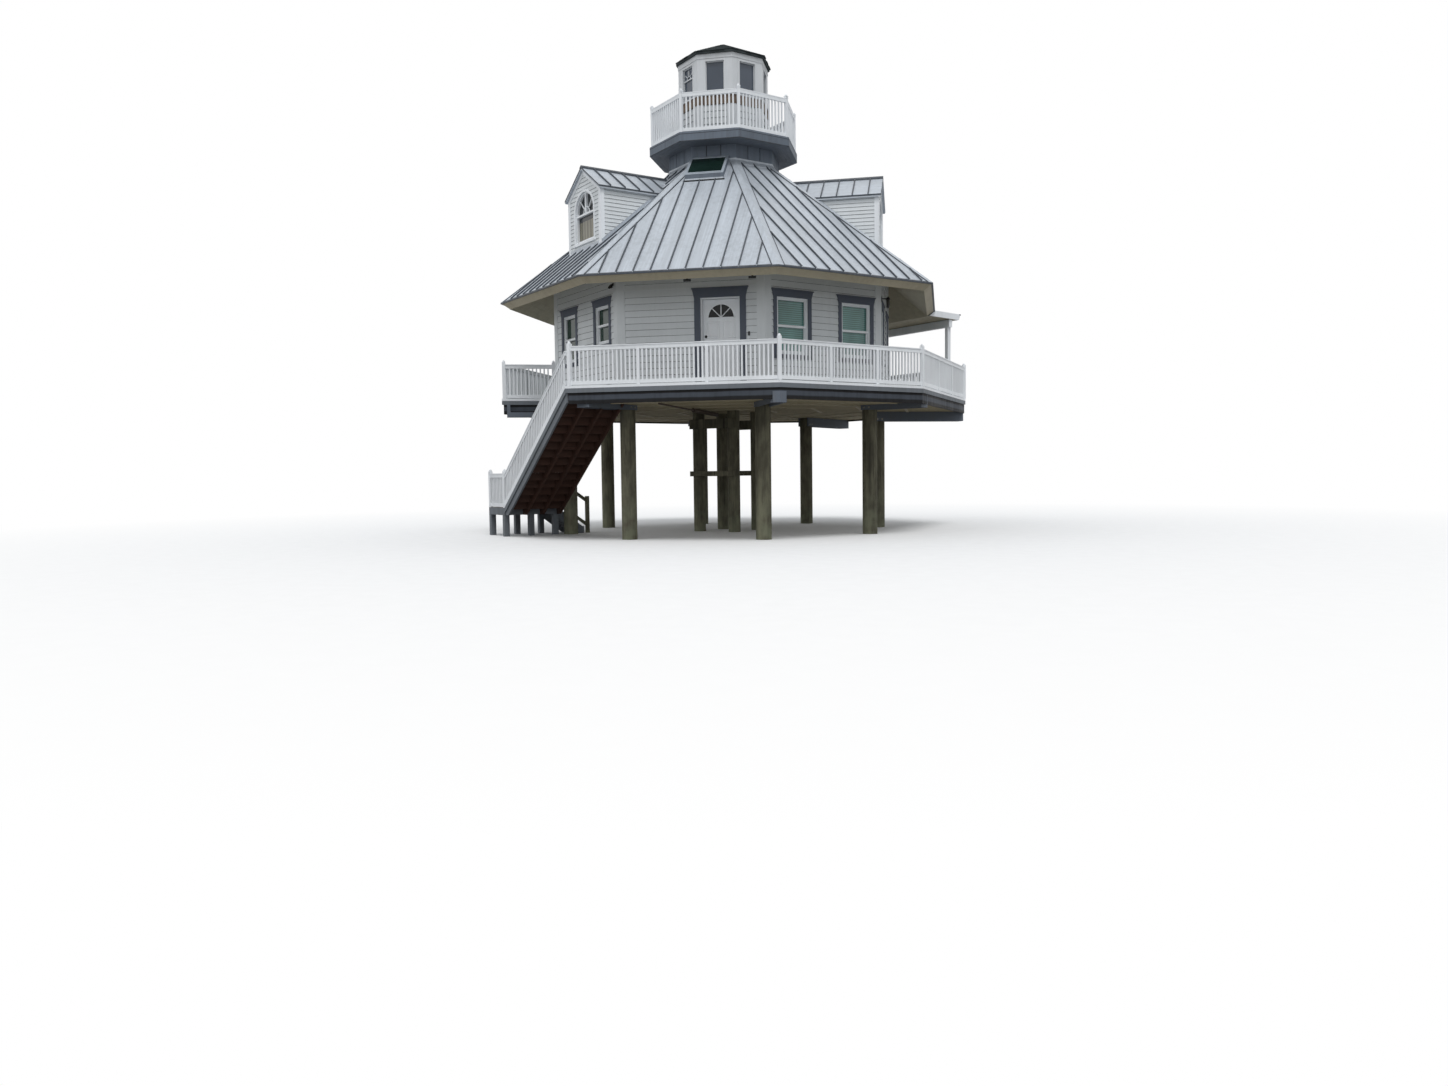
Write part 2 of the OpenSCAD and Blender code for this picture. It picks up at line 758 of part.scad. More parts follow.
// Side view of a stringer: the saw-tooth carries the treads, the closed one hides them
function saw_points() = [for (i = [0:risers - 1]) each
    [[stair_t - i * going - seam, deck_z - (i + 1) * rise - tread_t],
     [stair_t - (i + 1) * going, deck_z - (i + 1) * rise - tread_t]]];

// Where the underside of the stringers meets the underside of the landing
stringer_foot = stair_foot + (stringer_drop - landing_frame_h) / pitch;

// Plate of an outline in x and z, from y on, t thick
module upright(y, t, pts) {
    translate([0, y + t, 0]) rotate([90, 0, 0]) linear_extrude(t) polygon(pts);
}

// Band along the stair between two heights over the line of the noses
module stair_band(y, t, z1, z2, x1 = stair_foot + seam, x2 = stair_end) {
    upright(y, t, [[x1, nose_z(x1) + z1], [x2, nose_z(x2) + z1], [x2, nose_z(x2) + z2],
        [x1, nose_z(x1) + z2]]);
}

module open_stringer(y) {
    upright(y, stringer_t, concat(saw_points(), [
        [stair_foot + seam, landing_z - landing_frame_h],
        [stringer_foot, landing_z - landing_frame_h],
        [stair_end, nose_z(stair_end) - stringer_drop],
        [stair_end, nose_z(stair_end) - rise - tread_t]]));
}

// Outer stringer with its facing board, both up to the line of the noses
module closed_stringer() {
    upright(fascia_t, stringer_t, [
        [stair_foot + seam, landing_z],
        [stair_foot + seam, landing_z - landing_frame_h],
        [stringer_foot, landing_z - landing_frame_h],
        [stair_end, nose_z(stair_end) - stringer_drop],
        [stair_end, nose_z(stair_end)]]);
    stair_band(0, fascia_t + lap, -stair_fascia_h, 0);
}

// Places a shape in the stair's frame, with y = 0 at its outer face
module on_stair() {
    on_face(7, stair_a) children();
}

stringer_in = fascia_t + stringer_t + seam;
stringer_step = (stair_w - fascia_t - stringer_t) / (stringers - 1);

// Cuts a piece of the stair back from the radial beam that crosses under its head
module clear_of_beam() {
    difference() {
        on_stair() children();
        beam_space(0);
    }
}

module stair_stringers() {
    color(GREY) at_axis() clear_of_beam() {
        closed_stringer();
        for (i = [1:stringers - 1]) open_stringer(fascia_t + i * stringer_step);
    }
}

// Treads lie on the saw-tooth, and each riser stands on the tread below it
module stair_treads() {
    color(REDWOOD) at_axis() clear_of_beam() for (i = [1:risers]) {
        back = stair_t - (i - 1) * going;
        nose = max(back - going - riser_t - nosing, stair_foot + seam);
        translate([nose, stringer_in, deck_z - i * rise - tread_t])
            cube([back - nose - seam, stair_w - stringer_in, tread_t]);
    }
}

module stair_risers() {
    color(REDWOOD) at_axis() clear_of_beam() for (i = [0:risers - 1]) {
        top = i == 0 ? deck_z : deck_z - i * rise - tread_t - seam;
        foot = deck_z - (i + 1) * rise + seam;
        translate([stair_t - i * going - riser_t - seam, stringer_in, foot])
            cube([riser_t, stair_w - stringer_in, top - foot]);
    }
}

// Landing: a boarded frame on posts, three to a row
module stair_landing() {
    under = landing_z - landing_frame_h;
    w = landing_post_w;
    color(GREY) at_axis() on_stair() translate([stair_foot - landing_l, 0, 0]) {
        translate([0, 0, under]) cube([landing_l, stair_w, landing_frame_h]);
        for (x = [0, landing_l - w], y = [0, (stair_w - w) / 2, stair_w - w])
            translate([x, y, 0]) cube([w, w, under - seam]);
    }
}

// White curb and railing that follow the stair, from the landing's post to the deck's
module stair_rail() {
    y = (curb_w - rail_t) / 2;
    top = stair_rail_h;
    foot = stair_curb_h + bottom_rail_gap;
    x1 = stair_foot + seam;
    x2 = stair_t - post_w / 6 - seam;
    n = ceil((x2 - x1) / baluster_step);
    color(WHITE) at_axis() on_stair() {
        stair_band(0, stringer_in - seam, seam, stair_curb_h, x1, x2);
        stair_band(y, rail_t, top - top_rail_h, top, x1, x2);
        stair_band(y, rail_t, foot, foot + bottom_rail_h, x1, x2);
        for (i = [1:n - 1]) {
            x = x1 + i * (x2 - x1) / n - baluster_w / 2;
            stair_band((curb_w - baluster_w) / 2, baluster_w, foot + lap, top - lap, x, x + baluster_w);
        }
    }
}

// Guard round the landing's two open sides
module landing_rail() {
    z = landing_z + seam;
    a = [stair_foot - post_w / 2, post_w / 2];
    b = [stair_foot - landing_l + post_w / 2, post_w / 2];
    c = [b.x, stair_w - post_w / 2];
    color(WHITE) at_axis() on_stair() {
        for (p = [a, b, c]) rail_post(p, z, post_h, post_w, 0);
        railing_between(b, a, [0, 0], z, 1);
        railing_between(c, b, [0, 0], z, 1);
    }
}

lower_run = (lower_risers - 1) * going;
lower_w = landing_l - lower_inset;

// Side view of the lower flight's stringers, y inwards from the landing
module lower_stringer(x) {
    translate([x, 0, 0]) rotate([90, 0, 90]) linear_extrude(stringer_t) polygon([
        [seam, landing_z],
        [seam, landing_z - lower_stringer_h],
        [seam + (landing_z - lower_stringer_h) / pitch, 0],
        [lower_run + stringer_t, 0],
        [lower_run + stringer_t, rise],
        [lower_run, rise]]);
}

// Short flight from the landing down under the house
module lower_stair() {
    color(GREY) at_axis() on_stair() translate([stair_foot - landing_l, stair_w, 0]) {
        lower_stringer(0);
        lower_stringer(lower_w - stringer_t);
        for (i = [1:lower_risers - 1])
            translate([stringer_t + seam, (i - 1) * going + 2 * seam, landing_z - i * rise - tread_t])
                cube([lower_w - 2 * (stringer_t + seam), going - seam, tread_t]);
    }
}

// Sloping hand rail of the lower flight between a post on the landing and a newel
module lower_stair_rail() {
    w = landing_post_w * 2 / 3;
    y1 = -w / 2;
    y2 = lower_run + newel_past + w / 2;
    color(TIMBER) at_axis() on_stair() translate([stair_foot - lower_inset - w, stair_w, 0]) {
        translate([0, y2 - w / 2, 0]) cube([w, w, newel_h]);
        translate([0, -w - seam, landing_z + seam]) cube([w, w, stair_rail_h + post_up]);
        translate([(w - rail_t) / 2, 0, 0]) rotate([90, 0, 90]) linear_extrude(rail_t)
            for (z = [stair_rail_h - top_rail_h, bottom_rail_h + bottom_rail_gap]) polygon([
                [y1, landing_z + z],
                [y2, landing_z - y2 * pitch + z],
                [y2, landing_z - y2 * pitch + z + top_rail_h],
                [y1, landing_z + z + top_rail_h]]);
    }
}

// House walls: mitred slabs with their openings cut through
wall_profile = [[wall_in, deck_z], [wall_a, deck_z], [wall_a, roof_under(wall_a)],
    [wall_in, roof_under(wall_in)]];

// Windows of each side: [middle, width, sill]
function windows(k) =
    k == 0 ? [] :
    k == 7 ? [[-window_x + left_window_shift, narrow_window_w, left_sill_z],
        [window_x, narrow_window_w, high_sill_z]] :
    [[-window_x, window_w, sill_z], [window_x, window_w, sill_z]];

module wall_body(k) {
    difference() {
        side_profile(k, wall_profile);
        on_face(k, wall_a) for (w = windows(k)) through(-lap, wall_t + lap)
            rect(w[0] - w[1] / 2, w[0] + w[1] / 2, curb_z + w[2], head);
    }
}

// Front wall: one slab each side of the doorway and one over it
module front_wall() {
    a = door_x - door_w / 2;
    b = door_x + door_w / 2;
    color(SIDING) at_axis() for (r = [[-wall_a, a, deck_z], [b, wall_a, deck_z],
            [a + seam, b - seam, head]]) intersection() {
        wall_body(0);
        on_face(0, wall_a) through(-lap, wall_t + lap) rect(r[0], r[1], r[2], eave_z + wall_a);
    }
}

module right_front_wall() { color(SIDING) at_axis() wall_body(1); }
module right_wall() { color(SIDING) at_axis() wall_body(2); }
module left_front_wall() { color(SIDING) at_axis() wall_body(7); }
module rear_walls() { color(SIDING) at_axis() for (k = [3:6]) wall_body(k); }

// Corner boards wrap each corner of the walls
module corner_boards() {
    t = corner_board_t;
    w = corner_board_w;
    color(WHITE) at_axis() for (k = [0:SIDES - 1]) {
        j = (k + SIDES - 1) % SIDES;
        p = corner(wall_a + seam, k);
        slab([p, p - w * along(j), p - w * along(j) + t * outward(j), corner(wall_a + seam + t, k),
            p + w * along(k) + t * outward(k), p + w * along(k)],
            deck_z + seam, roof_under(wall_a + t + lap) - seam);
    }
}

// Dark casing round an opening: a head with flared ends and a board on each side
module casing(w, z1, z2, side_w, head_h) {
    x = w / 2;
    out = x + side_w;
    top = z2 + head_h;
    polygon([[-out, z2 + seam], [out, z2 + seam], [out + head_flare, top],
        [-out - head_flare, top]]);
    for (s = [-1, 1]) rect(s * x, s * out, z1, z2);
}

module window_casings() {
    color(SLATE) at_axis() for (k = [1:SIDES - 1]) for (w = windows(k))
        on_face(k, wall_a) translate([w[0], 0, 0]) through(-casing_t, 0) {
            sill = curb_z + w[2];
            out = w[1] / 2 + casing_w;
            casing(w[1], sill, head, casing_w, head_casing_h);
            rect(-out, out, sill - casing_w, sill - seam);
        }
}

// Single-hung window: frame, meeting rail and the lower sash set in
module window_frame(w, z1, z2) {
    mid = (z1 + z2) / 2;
    through(sash_back, sash_back + sash_d) difference() {
        rect(-w / 2, w / 2, z1, z2);
        rect(-w / 2 + sash_w, w / 2 - sash_w, z1 + sash_w, mid - sash_w / 2);
        rect(-w / 2 + sash_w, w / 2 - sash_w, mid + sash_w / 2, z2 - sash_w);
    }
}

module window_frames() {
    color(WHITE) at_axis() for (k = [1:SIDES - 1]) for (w = windows(k))
        on_face(k, wall_a) translate([w[0], 0, 0]) window_frame(w[1], curb_z + w[2], head);
}

module window_glass() {
    back = sash_back + sash_d;
    color(GLASS) at_axis() for (k = [1:SIDES - 1]) for (w = windows(k))
        on_face(k, wall_a) translate([w[0], 0, 0]) through(back, back + glass_t)
            rect(-w[1] / 2 + sash_w / 2, w[1] / 2 - sash_w / 2, curb_z + w[2] + sash_w / 2,
                head - sash_w / 2);
}

// Door frame: two jambs, the head and the threshold, through the wall
module door_frame() {
    x = door_w / 2 - seam;
    color(WHITE) at_axis() on_face(0, wall_a) translate([door_x, 0, 0]) through(0, wall_t) {
        for (s = [-1, 1]) rect(s * (x - jamb_t), s * x, deck_z, head - seam);
        rect(seam - x + jamb_t, x - jamb_t - seam, head - jamb_t, head - seam);
        rect(seam - x + jamb_t, x - jamb_t - seam, deck_z, deck_z + threshold_h);
    }
}

module door_casing() {
    color(SLATE) at_axis() on_face(0, wall_a) translate([door_x, 0, 0])
        through(-casing_t - seam, -seam)
            casing(door_w, deck_z + seam, head, door_casing_w, door_head_casing_h);
}

module fanlight(r) {
    translate([0, fan_up]) intersection() {
        circle(r = r);
        rect(-r, r, 0, r);
    }
}

module door_leaf() {
    knob_x = -leaf_w / 2 + knob_in;
    out = leaf_t + 2 * knob_out;
    color(WHITE) at_axis() on_face(0, wall_in) translate([door_x, -leaf_t, leaf_foot]) {
        through(0, leaf_t) difference() {
            rect(-leaf_w / 2, leaf_w / 2, 0, leaf_h);
            fanlight(fan_r);
        }
        translate([knob_x, leaf_t + knob_out, knob_up]) rotate([90, 0, 0])
            cylinder(d = knob_d / 3, h = out);
        for (y = [-knob_out, leaf_t + knob_out]) translate([knob_x, y, knob_up])
            sphere(d = knob_d);
        at_hinges() {
            difference() {
                union() {
                    cylinder(r = knuckle_r, h = hinge_h / 3 - knuckle_gap, center = true);
                    translate([-hinge_w, -knuckle_r - lap, -hinge_h / 6 + knuckle_gap / 2])
                        cube([hinge_w, hinge_plate_t + lap, hinge_h / 3 - knuckle_gap]);
                }
                cylinder(r = hinge_pin_r + hinge_play, h = hinge_h, center = true);
            }
        }
    }
}

// Places a shape at each hinge's axis, in the leaf's frame
module at_hinges() {
    for (z = [hinge_end, leaf_h / 2, leaf_h - hinge_end])
        translate([leaf_w / 2 + leaf_gap / 2, leaf_t + knuckle_r, z]) children();
}

// Fixed half of each hinge: a pin with a knuckle at both ends, and a plate on the jamb
module door_hinges() {
    color(SLATE) at_axis() on_face(0, wall_in) translate([door_x, -leaf_t, leaf_foot]) at_hinges() {
        cylinder(r = hinge_pin_r, h = hinge_h, center = true);
        for (s = [-1, 1]) translate([0, 0, s * hinge_h / 3]) {
            cylinder(r = knuckle_r, h = hinge_h / 3, center = true);
            translate([0, -knuckle_r + seam, -hinge_h / 6])
                cube([hinge_w, hinge_plate_t, hinge_h / 3]);
        }
    }
}

module door_fanlight() {
    color(GLASS) at_axis() on_face(0, wall_in) translate([door_x, -leaf_t, leaf_foot])
        through((leaf_t - glass_t) / 2, (leaf_t + glass_t) / 2) fanlight(fan_r);
}

// Room inside a dormer, cut out of the roof below it
module dormer_hole(k) {
    w = dormer_w - 2 * dormer_wall_t;
    a_in = roof_reach(dormer_eave_z);
    on_face(k) translate([dormer_x - w / 2, -dormer_a + dormer_wall_t, 0])
        cube([w, dormer_a - dormer_wall_t - a_in, walk_z]);
}

module skylight_hole() {
    w = skylight_w - 2 * skylight_curb_t;
    on_face(0) translate([skylight_x - w / 2, -skylight_out + skylight_curb_t, 0])
        cube([w, skylight_out - skylight_in - 2 * skylight_curb_t, walk_z]);
}

module roof_holes(k) {
    if (k == dormer_sides[0] || k == dormer_sides[1]) dormer_hole(k);
    if (k == 0) skylight_hole();
}

// Part of the sloping fascia that the metal covers
skin_part = roof_skin_t / (fascia_drop + fascia_in * roof_rise);
skin_edge = [eave_a - fascia_in * skin_part, eave_z - fascia_drop * skin_part];

module main_roof() {
    color(METAL) at_axis() for (k = [0:SIDES - 1]) {
        difference() {
            side_profile(k, [[eave_a, eave_z], [neck_a, roof_top(neck_a)],
                [neck_a, roof_board(neck_a)], skin_edge]);
            roof_holes(k);
        }
        difference() {
            standing_seams(k);
            on_roof_space(k);
        }
    }
}

// Standing seams of side k, up from the eave to the hip caps or the neck
module standing_seams(k) {
    n = ceil(half_side(eave_a) / rib_step);
    for (i = [-n:n]) {
        x = i * rib_step + (k % 2 == 0 ? rib_step / 2 : rib_shift);
        a1 = max(neck_a, (abs(x) + rib_w / 2 + hip_cap_w) / tan(HALF)) + 2 * seam;
        a2 = eave_a - seam;
        if (a1 < a2 - rib_step / 2) on_face(k) translate([x, 0, 0]) rib([[a1, roof_top(a1) - lap],
            [a2, roof_top(a2) - lap], [a2, roof_top(a2) + rib_h], [a1, roof_top(a1) + rib_h]]);
    }
}

// One seam up the slope, as a profile of points [distance from the axis, height]
module rib(profile) {
    rotate([90, 0, -90]) translate([0, 0, -rib_w / 2]) linear_extrude(rib_w) polygon(profile);
}

// Space that the skylight or a dormer takes up on the roof of side k
module on_roof_space(k) {
    if (k == 0) skylight_solid(skylight_w + 2 * seam, skylight_in - 2 * seam, skylight_out + seam,
        -skylight_h, skylight_h);
    if (k == dormer_sides[0] || k == dormer_sides[1]) dormer_space(k);
}

// Rafters and boarding under the metal, closed below and at the fascia
module roof_lining() {
    color(CREAM) at_axis() for (k = [0:SIDES - 1]) difference() {
        side_profile(k, [skin_edge, [neck_a, roof_board(neck_a)], [neck_a, roof_under(neck_a)],
            [eave_a - fascia_in, eave_z - fascia_drop]]);
        roof_holes(k);
    }
}

// Folded cap over each hip
module hip_caps() {
    a1 = neck_a + seam;
    a2 = eave_a;
    color(METAL) at_axis() for (k = [0:SIDES - 1]) difference() {
        on_face(k) for (s = [0, 1]) mirror([s, 0, 0]) intersection() {
            rotate([90, 0, -90]) translate([0, 0, -a2]) linear_extrude(2 * a2)
                polygon([[a2, roof_top(a2) + seam], [a1, roof_top(a1) + seam],
                    [a1, roof_top(a1) + hip_cap_t], [a2, roof_top(a2) + hip_cap_t]]);
            slab([[half_side(a1) - seam, -a1], [half_side(a1) - hip_cap_w, -a1],
                [half_side(a2) - hip_cap_w, -a2], [half_side(a2) - seam, -a2]], 0, lantern_top);
        }
        for (j = [0, k]) on_roof_space(j);
    }
}

// Places a shape on a dormer, with y = 0 at its front
module on_dormer(k) {
    on_face(k, dormer_a) translate([dormer_x, 0, 0]) children();
}

// Space that a dormer with its seams takes up, down to the eave
module dormer_space(k) {
    x = dormer_w / 2 + dormer_eave + seam;
    top = dormer_ridge_z + rib_h + seam;
    on_dormer(k) through(-dormer_rake - seam, dormer_a)
        polygon([[-x, eave_z], [x, eave_z], [x, top - x * dormer_rise], [0, top],
            [-x, top - x * dormer_rise]]);
}

// Outline of a dormer's gable, set in by d from its outer faces
function gable(d) =
    let (x = dormer_w / 2 - d, top = dormer_ridge_z - dormer_roof_t - d * dormer_rise)
    [[-x, eave_z], [x, eave_z], [x, top - x * dormer_rise], [0, top], [-x, top - x * dormer_rise]];

module above_roof(k) {
    ribbon(k, 2 * half_side(eave_a), [[eave_a, eave_z + seam], [0, roof_top(0) + seam],
        [0, 2 * eave_z], [eave_a, 2 * eave_z]]);
}

// Front of a dormer with its arched opening, and a cheek wall on each side
module dormer_walls() {
    t = dormer_wall_t;
    color(SIDING) at_axis() for (k = dormer_sides) intersection() {
        on_dormer(k) {
            through(0, t) difference() {
                polygon(gable(0));
                arch(dormer_win_w, dormer_sill_z, dormer_spring_z);
            }
            through(t + seam, dormer_a) difference() {
                polygon(gable(0));
                rect(-dormer_w / 2 + t, dormer_w / 2 - t, 0, dormer_ridge_z);
            }
        }
        above_roof(k);
    }
}

// Two slopes of a dormer's roof, meeting at the ridge
module dormer_roofs() {
    x = dormer_w / 2 + dormer_eave;
    top = dormer_ridge_z;
    t = dormer_roof_t;
    g = ridge_gap;
    last = floor((dormer_a + dormer_rake - dormer_rib_in - roof_reach(top) - rib_step / 2) / rib_step);
    color(METAL) at_axis() for (k = dormer_sides) intersection() {
        on_dormer(k) for (s = [-1, 1]) {
            through(-dormer_rake, dormer_a) polygon([[s * seam, top - t], [s * seam, top],
                [s * x, top - x * dormer_rise], [s * x, top - x * dormer_rise - t]]);
            for (i = [0:last]) {
                y = dormer_rib_in - dormer_rake + i * rib_step;
                through(y - rib_w / 2, y + rib_w / 2) polygon([[s * g, top - g * dormer_rise - lap],
                    [s * g, top - g * dormer_rise + rib_h], [s * x, top - x * dormer_rise + rib_h],
                    [s * x, top - x * dormer_rise - lap]]);
            }
        }
        above_roof(k);
    }
}

// Arched window of a dormer: frame, transom, and a bar in the arch
module dormer_windows() {
    w = dormer_win_w;
    bar = sash_w * 4 / 5;
    color(WHITE) at_axis() for (k = dormer_sides) on_dormer(k)
        through(sash_back, sash_back + sash_d) difference() {
            arch(w, dormer_sill_z, dormer_spring_z);
            difference() {
                arch(w - 2 * bar, dormer_sill_z + bar, dormer_spring_z);
                rect(-bar / 2, bar / 2, dormer_spring_z - bar, dormer_spring_z + w / 2);
                rect(-w, w, dormer_spring_z - bar, dormer_spring_z);
            }
        }
}

module dormer_glass() {
    back = sash_back + sash_d + seam;
    color(GLASS) at_axis() for (k = dormer_sides) on_dormer(k)
        through(back, back + glass_t)
            arch(dormer_win_w - sash_w, dormer_sill_z + sash_w / 2, dormer_spring_z);
}

// Skylight: a curb on the roof with a sloping pane on top
module skylight_solid(w, a1, a2, z1, z2) {
    translate([skylight_x, 0, 0]) ribbon(0, w, [[a1, roof_top(a1) + z1], [a2, roof_top(a2) + z1],
        [a2, roof_top(a2) + z2], [a1, roof_top(a1) + z2]]);
}

module skylight_frame() {
    t = skylight_curb_t;
    color(GREY) at_axis() difference() {
        skylight_solid(skylight_w, skylight_in, skylight_out, seam, skylight_h);
        skylight_solid(skylight_w - 2 * t, skylight_in + t, skylight_out - t, -skylight_h,
            2 * skylight_h);
    }
}

module skylight_glass() {
    t = skylight_curb_t / 2;
    color(GLASS) at_axis() skylight_solid(skylight_w - 2 * t, skylight_in + t, skylight_out - t,
        skylight_h + seam, skylight_h + seam + glass_t);
}

// Wall of each side between two distances and two heights
module ring_of_sides(a_in, a_out, z1, z2) {
    for (k = [0:SIDES - 1]) side_profile(k, [[a_in, z1], [a_out, z1], [a_out, z2], [a_in, z2]]);
}

module lantern_neck() {
    color(SLATE) at_axis()
        ring_of_sides(neck_a - neck_t, neck_a - seam, roof_under(neck_a), walk_z - seam);
}

module lantern_walk() {
    color(SLATE) at_axis() octagon(walk_a, walk_z, walk_top);
}

module lantern_rail() {
    a = walk_a - lantern_rail_in;
    w = lantern_post_w;
    color(WHITE) at_axis() for (k = [0:SIDES - 1]) {
        rail_post(corner(a, k), walk_top + seam, lantern_rail_h + post_up, w, post_turn(k));
        railing_between(corner(a, k), corner(a, k + 1), [post_turn(k), post_turn(k + 1)],
            walk_top + seam, 1, lantern_rail_h, w);
    }
}

module lantern_window() {
    rect(-lantern_win_w / 2, lantern_win_w / 2, lantern_sill, lantern_head);
}

module lantern_walls() {
    color(SIDING) at_axis() difference() {
        ring_of_sides(lantern_a - lantern_t, lantern_a, walk_top + seam, lantern_top);
        for (k = [0:SIDES - 1]) on_face(k, lantern_a) translate([0, 0, walk_top])
            through(-lap, lantern_t + lap) lantern_window();
    }
}

// Band round the lantern below its windows
module lantern_band() {
    top = walk_top + lantern_sill;
    color(REDWOOD) at_axis() ring_of_sides(lantern_a + seam, lantern_a + band_t, top - band_h, top);
}

module lantern_glass() {
    mid = lantern_t / 2;
    color(GLASS) at_axis() for (k = [0:SIDES - 1]) on_face(k, lantern_a)
        translate([0, 0, walk_top]) through(mid, mid + glass_t) lantern_window();
}

module lantern_roof() {
    z1 = lantern_top + seam;
    z2 = lantern_top + cap_edge_h;
    color(SLATE) at_axis() intersection_for (k = [0:SIDES / 2 - 1])
        ribbon(k, 4 * cap_a, [[-cap_a, z1], [cap_a, z1], [cap_a, z2], [0, z2 + cap_h],
            [-cap_a, z2]]);
}

// Flat roof over the porch, carried on from the eave of side 3
module porch_roof() {
    edge_z = eave_z - porch_fall;
    lean = seam / roof_rise;
    half = half_side(eave_a);
    n = floor((half - rib_step / 2) / rib_step);
    color(METAL) at_axis() {
        ribbon(3, 2 * half, [[eave_a + lean, eave_z],
            [eave_a - fascia_in + lean, eave_z - fascia_drop],
            [porch_a - porch_lean, edge_z - porch_edge_h], [porch_a, edge_z]]);
        for (i = [-n:n]) on_face(3) translate([i * rib_step + rib_shift, 0, 0])
            rib([[eave_a + lean, eave_z - lap], [porch_a, edge_z - lap], [porch_a, edge_z + rib_h],
                [eave_a + lean, eave_z + rib_h]]);
    }
}

// Outer beam under the porch roof, on a post at each end
module porch_frame() {
    w = porch_post_w;
    color(WHITE) at_axis() on_face(3, porch_beam_a) {
        translate([-porch_beam_l / 2, -w / 2, porch_beam_z])
            cube([porch_beam_l, w, porch_beam_h - seam]);
        for (s = [-1, 1]) translate([s * (porch_beam_l / 2 - porch_post_in) - w / 2, -w / 2,
            deck_z + seam]) cube([w, w, porch_beam_z - deck_z - 2 * seam]);
    }
}

// Wall lantern on the right wall's corner board by the front: plate, arm and body
module wall_light() {
    z1 = curb_z + wall_light_up;
    z2 = z1 + wall_light_h;
    face = corner_board_t + 2 * seam;
    color(SLATE) at_axis() on_face(2, wall_a) translate([corner_board_w / 2 - half_side(wall_a), 0, 0]) {
        translate([0, -face, 0]) through(-light_plate / 4, 0)
            rect(-light_plate / 2, light_plate / 2, z2 - light_plate, z2);
        translate([0, -face, z2 - light_plate / 2]) rotate([90, 0, 0])
            cylinder(d = light_plate / 4, h = wall_light_out - face);
        translate([0, -wall_light_out, z1]) cylinder(d = wall_light_w, h = wall_light_h);
    }
}

outer_piles();
inner_piles();
inner_beams();
radial_beams();
underside_ceiling();
floor_frame();
house_floor();
deck_boards();
deck_fascia();
deck_curb();
deck_posts();
front_rail();
right_rails();
porch_rail();
rear_rails();
left_end_rail();
stair_stringers();
stair_treads();
stair_risers();
stair_landing();
stair_rail();
landing_rail();
lower_stair();
lower_stair_rail();
front_wall();
right_front_wall();
right_wall();
left_front_wall();
rear_walls();
corner_boards();
door_frame();
door_casing();
door_hinges();
door_leaf();
door_fanlight();
window_casings();
window_frames();
window_glass();
main_roof();
roof_lining();
hip_caps();
dormer_walls();
dormer_roofs();
dormer_windows();
dormer_glass();
skylight_frame();
skylight_glass();
lantern_neck();
lantern_walk();
lantern_rail();
lantern_walls();
lantern_band();
lantern_glass();
lantern_roof();
porch_roof();
porch_frame();
wall_light();
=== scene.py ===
"""The looks of an octagonal beach house on piles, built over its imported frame. All in metres."""
import math

import bpy
import numpy as np
from bpy.props import FloatProperty, FloatVectorProperty, PointerProperty
from mathutils import Matrix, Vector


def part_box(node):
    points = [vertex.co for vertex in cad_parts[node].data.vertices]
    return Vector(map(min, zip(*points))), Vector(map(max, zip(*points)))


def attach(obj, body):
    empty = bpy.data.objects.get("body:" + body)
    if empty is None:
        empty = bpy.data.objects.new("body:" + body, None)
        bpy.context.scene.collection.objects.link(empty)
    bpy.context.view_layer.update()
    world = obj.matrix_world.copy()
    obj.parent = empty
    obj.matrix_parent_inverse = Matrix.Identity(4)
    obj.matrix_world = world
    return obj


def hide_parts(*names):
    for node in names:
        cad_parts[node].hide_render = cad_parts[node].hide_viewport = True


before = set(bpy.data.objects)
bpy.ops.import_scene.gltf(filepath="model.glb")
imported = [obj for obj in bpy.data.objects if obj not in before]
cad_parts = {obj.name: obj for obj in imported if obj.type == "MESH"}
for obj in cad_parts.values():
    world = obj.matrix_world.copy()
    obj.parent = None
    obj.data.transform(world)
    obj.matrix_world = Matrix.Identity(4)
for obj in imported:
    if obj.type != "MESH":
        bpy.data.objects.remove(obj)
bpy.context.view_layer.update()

bl_info = {
    "name": "Octagonal Beach House",
    "version": (1, 0, 0),
    "blender": (4, 5, 0),
    "location": "3D View > Sidebar > Beach House",
    "description": "Dresses the frame of an octagonal beach house with its boards, seams and paint",
    "category": "Object",
}

# The frame's own measures: A is a distance from the axis, Z a height. Sides are numbered 0 (front) to 7,
# counter-clockwise from above.
SIDES = 8
HALF = math.pi / SIDES
SIN45 = math.sin(math.pi / 4)
LOW_WALK, HIGH_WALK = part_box("lantern_walk")
AXIS_X = (LOW_WALK[0] + HIGH_WALK[0]) / 2
AXIS_Y = (LOW_WALK[1] + HIGH_WALK[1]) / 2

PILE_R = 4.400
CEILING_Z = 3.305
BEAM_FOOT = {3: 3.035, 4: 3.035}
BEAM_FOOT_Z = 3.180
BEAM_HALF_W = 0.180
DECK_Z = 3.620
CURB_Z = 3.680
CURB_W = 0.090
DECK_A = 5.700
RUN_ON = 0.340
RIGHT_START = 5.450
PORCH_DECK_A = 6.510
PORCH_DECK_HALF = 2.735
RAIL_H = 0.905
POST_W = 0.090
POST_UP = 0.060
RAIL_CAP = (0.074, 0.023, -0.014)
WALL_A = 4.350
WALL_T = 0.150
CORNER_BOARD = 0.185
CORNER_T = 0.022
HEAD_Z = 5.780
CASING_W = 0.100
WALL_LAP = 0.018
HEAD_CASING = 0.165
HEAD_FLARE = 0.050
SASH_W = 0.055
DOOR_X = 0.730
DOOR_CASING_HALF = 0.628
DOOR_HEAD_CASING = 0.210
LEAF_FOOT = 3.716
LEAF_OUT_A = 4.244
LEAF_IN_A = 4.200
